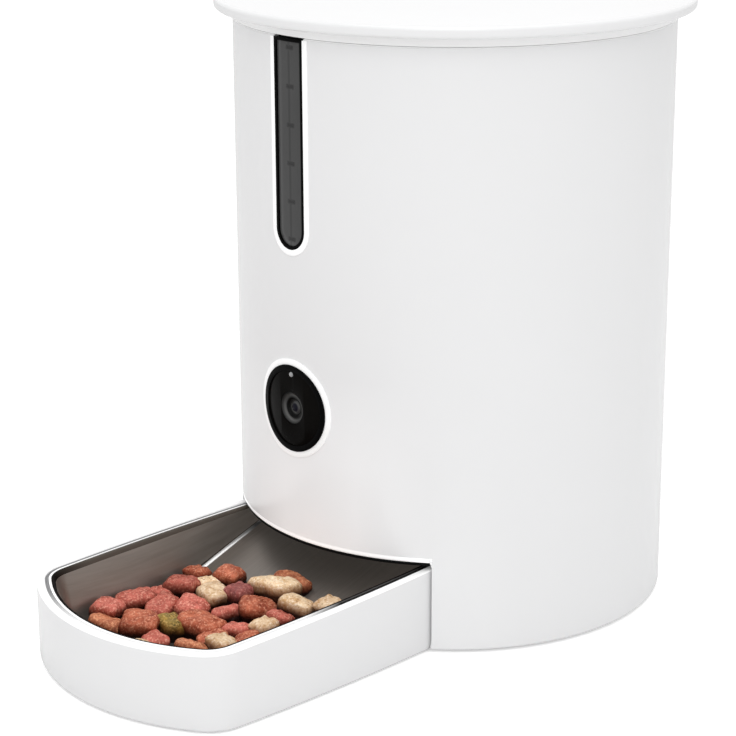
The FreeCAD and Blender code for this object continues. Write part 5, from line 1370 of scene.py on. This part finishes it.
def food_seeds():
    """Base shapes of the food: rounded pillows and two longer bits, each a little uneven."""
    shapes, apart = [], 0.05
    for i, (a, b, c) in enumerate(FOOD_SHAPES):
        clear_selection()
        bpy.ops.mesh.primitive_ico_sphere_add(subdivisions=4, radius=1.0)
        lump = new_piece("lump")
        with editing(lump, "VERT"):
            shape = bmesh.from_edit_mesh(lump.data)
            for v in shape.verts:
                p = v.co.normalized()
                v.co = p / (abs(p.x) ** 4.0 + abs(p.y) ** 4.0 + abs(p.z) ** 3.4) ** (1 / 3.8)
            bmesh.update_edit_mesh(lump.data)
            bpy.ops.transform.resize(value=Vector((a, b, c)) * MM)
            bpy.ops.transform.translate(value=(apart * i, 0, 0))
        noise = bpy.data.textures.new("lumps", "CLOUDS")
        noise.noise_scale = 0.006
        noise.noise_depth = 3
        apply(lump, "DISPLACE", texture=noise, strength=0.0034, mid_level=0.5, texture_coords="LOCAL")
        with editing(lump, "VERT"):
            bpy.ops.transform.translate(value=(-apart * i, 0, 0))
        shapes.append(lump)
    return shapes


class Heap:
    """Heights of the heap on a grid, in millimetres about the axis."""
    STEP, X0, Y0, NX, NY = 1.5, -66.0, -222.0, 89, 110

    def __init__(self):
        outline = tray_outline(14.5, 8)
        wall = 60.0
        self.field = [[ramp_height(y) if inside_plan(outline, x, y) else wall
                       for y in (self.Y0 + j * self.STEP for j in range(self.NY))]
                      for x in (self.X0 + i * self.STEP for i in range(self.NX))]

    def rest(self, x, y, turn, shape):
        """Lowest height at which a piece's centre can rest, and the grid cells under it."""
        a, b, c = shape
        reach_x = math.hypot(a * math.cos(turn), b * math.sin(turn))
        reach_y = math.hypot(a * math.sin(turn), b * math.cos(turn))
        height, cells = 0.0, []
        for i in range(max(int((x - reach_x - self.X0) / self.STEP), 0), self.NX):
            dx = self.X0 + i * self.STEP - x
            if dx > reach_x:
                break
            for j in range(max(int((y - reach_y - self.Y0) / self.STEP), 0), self.NY):
                dy = self.Y0 + j * self.STEP - y
                if dy > reach_y:
                    break
                u = (dx * math.cos(turn) + dy * math.sin(turn)) / a
                v = (-dx * math.sin(turn) + dy * math.cos(turn)) / b
                inner = u * u + v * v
                if inner < 0.9:
                    half = c * math.sqrt(1 - inner)
                    height = max(height, self.field[i][j] + half)
                    cells.append((i, j, half))
        return height, cells

    def put(self, z, cells):
        for i, j, half in cells:
            self.field[i][j] = max(self.field[i][j], z + half * 0.8)


def inside_plan(outline, x, y):
    crossings = False
    for (ax, ay), (bx, by) in zip(outline, outline[1:] + outline[:1]):
        if (ay > y) != (by > y) and x < (bx - ax) * (y - ay) / (by - ay) + ax:
            crossings = not crossings
    return crossings


def fill_bowl(count, seed):
    """The listed pieces, then random ones, each at the lowest of several tries below the heap's top."""
    dice = random.Random(seed)
    pile = Heap()
    placed = []
    for kind, tint, x, y, z, degrees, scale in FOOD_ON_TOP:
        turn = math.radians(degrees)
        _, cells = pile.rest(x, y, turn, [side * scale for side in FOOD_SHAPES[kind]])
        pile.put(z, cells)
        placed.append((kind, tint, x, y, z, turn, scale, dice.uniform(-0.2, 0.2), dice.uniform(-0.2, 0.2),
                       dice.uniform(0.4, 1.0)))
    for _ in range(max(count - len(placed), 0)):
        kind = dice.choices(range(5), weights=(4, 6, 5, 0.6, 1.0))[0]
        scale = dice.uniform(0.70, 0.86)
        shape = [side * scale for side in FOOD_SHAPES[kind]]
        best = None
        for _ in range(16):
            x, y = dice.uniform(-48.0, 48.0), dice.uniform(-205.0, -112.0)
            turn = dice.uniform(0, math.pi)
            z, cells = pile.rest(x, y, turn, shape)
            if cells and (best is None or z < best[2]):
                best = (x, y, z, turn, cells)
        if best is None or best[2] > ramp_height(best[1]) + shape[2] + 3.5:
            continue
        x, y, z, turn, cells = best
        pile.put(z, cells)
        tint = dice.choices(("red", "rust", "brown", "pale", "olive"), weights=(4, 3, 2, 1.5, 0.3))[0]
        placed.append((kind, tint, x, y, z, turn, scale, dice.uniform(-0.3, 0.3), dice.uniform(-0.3, 0.3),
                       dice.random()))
    return placed


def model_food():
    f = finish_values()
    shapes = food_seeds()
    sets = {"red": [], "plum": [], "rust": [], "brown": [], "pale": [], "olive": []}
    for kind, tint, x, y, z, turn, scale, tip, roll, tone in fill_bowl(f.food_count, f.food_seed):
        bit = shapes[kind].copy()
        bit.data = shapes[kind].data.copy()
        bpy.context.collection.objects.link(bit)
        place = Matrix.Translation(at(x, y, z)) @ Matrix.Rotation(turn, 4, "Z")
        place = place @ Matrix.Rotation(tip, 4, "X") @ Matrix.Rotation(roll, 4, "Y") @ Matrix.Scale(scale, 4)
        # Painted shade: how low each point lies on its piece, for the darker under side.
        under = [0.5 - v.co.z / (2 * FOOD_SHAPES[kind][2] * MM) for v in bit.data.vertices]
        bit.data.transform(place)
        for label, values in (("tone", [tone] * len(under)), ("under", under)):
            mark = bit.data.attributes.new(label, "FLOAT", "POINT")
            mark.data.foreach_set("value", values)
        sets[tint].append(bit)
    for lump in shapes:
        remove(lump)
    looks = {
        "red": (tuple(f.red_food), (0.78, 0.40, 0.31), (0.34, 0.085, 0.06)),
        "plum": ((0.40, 0.13, 0.12), (0.54, 0.25, 0.22), (0.20, 0.06, 0.06)),
        "rust": ((0.62, 0.21, 0.12), (0.82, 0.43, 0.29), (0.30, 0.07, 0.035)),
        "brown": (tuple(f.brown_food), (0.72, 0.39, 0.22), (0.28, 0.09, 0.045)),
        "pale": (tuple(f.pale_food), (1.0, 0.95, 0.80), (0.60, 0.41, 0.21)),
        "olive": ((0.44, 0.30, 0.07), (0.64, 0.47, 0.16), (0.12, 0.10, 0.03)),
    }
    for name, bits in sets.items():
        if not bits:
            continue
        made = join(bits, "food_" + name)
        tidy(made, 1e-8, 80.0)
        finish_piece(made, "tray", food_surface("food_" + name, *looks[name]), "brushed_bowl")


# Floor, light and camera
def floor_surface():
    """Pale floor that looks white where nothing shades it and keeps the shadow."""
    material, w, shader, where = surface("pale_floor")
    base = tuple(finish_values().floor)
    path = w.add("LightPath").outputs
    seen = w.math("MAXIMUM", path["Is Camera Ray"], path["Is Transmission Ray"])
    w.feed(shader, Base_Color=w.blend(w.noise(where, 3.0), base, scaled(base, 1.02)), Roughness=0.9,
           Specular_IOR_Level=0.2, Emission_Color=w.grey(seen), Emission_Strength=0.42)
    return material


def lay_floor():
    side = 30.0
    clear_selection()
    bpy.ops.mesh.primitive_plane_add(size=1.0)
    floor = new_piece("floor")
    with editing(floor):
        bpy.ops.transform.resize(value=(side, side, 1))
        bpy.ops.mesh.subdivide(number_cuts=2)
    floor.data.materials.append(floor_surface())


def light_room():
    """A plain world, seen as white, and two soft lamps."""
    world = bpy.context.scene.world or bpy.data.worlds.new("Studio")
    bpy.context.scene.world = world
    world.use_nodes = True
    world.node_tree.nodes.clear()
    w = Wires(world.node_tree)
    path = w.add("LightPath").outputs
    seen = w.math("MAXIMUM", path["Is Camera Ray"],
                  w.math("MAXIMUM", path["Is Glossy Ray"], path["Is Transmission Ray"]))
    mix = w.add("MixShader")
    room, backdrop = (w.add("Background", Color=WHITE, Strength=strength) for strength in (0.855, 1.0))
    for socket, value in zip(mix.inputs, (seen, room.outputs[0], backdrop.outputs[0])):
        w.put(socket, value)
    w.add("OutputWorld", Surface=mix.outputs[0])
    for name, place, target, size, power in (
            ("key_panel", (0.9, -0.9, 1.3), (0.0, 0.0, 0.12), 1.1, 6.0),
            ("top_panel", (0.0, 0.1, 1.9), (0.0, 0.0, 0.2), 1.4, 7.0)):
        data = bpy.data.lights.new(name, "AREA")
        data.shape = "SQUARE"
        data.size = size
        data.energy = power
        lamp = bpy.data.objects.new(name, data)
        bpy.context.collection.objects.link(lamp)
        lamp.location = place
        lamp.rotation_euler = (Vector(target) - Vector(place)).to_track_quat("-Z", "Y").to_euler()


def set_camera():
    """Camera at the photograph's place, with its slight roll."""
    place, ahead = (0.7200, -0.6710, 0.4186), Vector((-0.6984, 0.6522, -0.2946)).normalized()
    roll = -0.0044
    data = bpy.data.cameras.new("view")
    data.sensor_width = 36.0
    data.lens = 109.1
    data.clip_end = 60.0
    eye = bpy.data.objects.new("view", data)
    bpy.context.collection.objects.link(eye)
    side = ahead.cross(Vector((0, 0, 1))).normalized()
    up = side.cross(ahead)
    turn = Matrix((side, up, -ahead)).transposed().to_4x4()
    eye.matrix_world = Matrix.Translation(place) @ turn @ Matrix.Rotation(roll, 4, "Z")
    bpy.context.scene.camera = eye
    bpy.context.scene.view_settings.view_transform = "Standard"


# Add-on layout
class FEEDER_OT_stage(bpy.types.Operator):
    """Set the pale floor, the soft light and the camera"""
    bl_idname = "feeder.stage"
    bl_label = "Stage"

    def execute(self, context):
        set_camera()
        lay_floor()
        light_room()
        return {"FINISHED"}


class FEEDER_OT_body(bpy.types.Operator):
    """Model the round white body shell, its lips of painted highlight and its strip of painted shadow"""
    bl_idname = "feeder.body"
    bl_label = "Body shell"

    def execute(self, context):
        model_body()
        model_painted_edges()
        return {"FINISHED"}


class FEEDER_OT_lid(bpy.types.Operator):
    """Model the flat round lid"""
    bl_idname = "feeder.lid"
    bl_label = "Lid"

    def execute(self, context):
        model_lid()
        return {"FINISHED"}


class FEEDER_OT_tray(bpy.types.Operator):
    """Model the white tray that pulls out"""
    bl_idname = "feeder.tray"
    bl_label = "Bowl tray"

    def execute(self, context):
        model_tray()
        return {"FINISHED"}


class FEEDER_OT_bowl(bpy.types.Operator):
    """Model the drawn steel bowl"""
    bl_idname = "feeder.bowl"
    bl_label = "Steel bowl"

    def execute(self, context):
        model_bowl()
        return {"FINISHED"}


class FEEDER_OT_window(bpy.types.Operator):
    """Model the level window and its black frame"""
    bl_idname = "feeder.window"
    bl_label = "Level window"

    def execute(self, context):
        model_window()
        return {"FINISHED"}


class FEEDER_OT_camera_eye(bpy.types.Operator):
    """Model the camera's ring, cover, lens tube, lens and light"""
    bl_idname = "feeder.camera_eye"
    bl_label = "Camera eye"

    def execute(self, context):
        model_camera()
        return {"FINISHED"}


class FEEDER_OT_controls(bpy.types.Operator):
    """Model the power socket and the reset button"""
    bl_idname = "feeder.controls"
    bl_label = "Socket and button"

    def execute(self, context):
        model_controls()
        return {"FINISHED"}


class FEEDER_OT_base(bpy.types.Operator):
    """Model the screws and the rubber feet"""
    bl_idname = "feeder.base"
    bl_label = "Screws and feet"

    def execute(self, context):
        model_screws()
        model_feet()
        return {"FINISHED"}


class FEEDER_OT_food(bpy.types.Operator):
    """Fill the bowl with dry food"""
    bl_idname = "feeder.food"
    bl_label = "Food"

    def execute(self, context):
        model_food()
        return {"FINISHED"}


class FEEDER_OT_inside(bpy.types.Operator):
    """Give the parts inside their finishes"""
    bl_idname = "feeder.inside"
    bl_label = "Inner parts"

    def execute(self, context):
        dress_nodes()
        return {"FINISHED"}


OPERATORS = (FEEDER_OT_stage, FEEDER_OT_body, FEEDER_OT_lid, FEEDER_OT_tray, FEEDER_OT_bowl, FEEDER_OT_window,
             FEEDER_OT_camera_eye, FEEDER_OT_controls, FEEDER_OT_base, FEEDER_OT_food, FEEDER_OT_inside)


class FEEDER_PT_panel(bpy.types.Panel):
    bl_idname = "FEEDER_PT_panel"
    bl_label = "Pet feeder"
    bl_space_type = "VIEW_3D"
    bl_region_type = "UI"
    bl_category = "Pet feeder"

    def draw(self, context):
        for operator in OPERATORS:
            self.layout.operator(operator.bl_idname)
        for values in (context.scene.feeder_sizes, context.scene.feeder_finish):
            column = self.layout.column(align=True)
            for key in type(values).__annotations__:
                column.prop(values, key)


CLASSES = (FeederSizes, FeederFinish, *OPERATORS, FEEDER_PT_panel)


def register():
    for kind in CLASSES:
        bpy.utils.register_class(kind)
    bpy.types.Scene.feeder_sizes = PointerProperty(type=FeederSizes)
    bpy.types.Scene.feeder_finish = PointerProperty(type=FeederFinish)


def unregister():
    del bpy.types.Scene.feeder_finish
    del bpy.types.Scene.feeder_sizes
    for kind in reversed(CLASSES):
        bpy.utils.unregister_class(kind)


def main():
    register()
    for operator in OPERATORS:
        group_name, call = operator.bl_idname.split(".")
        getattr(getattr(bpy.ops, group_name), call)()


if __name__ == "__main__":
    main()
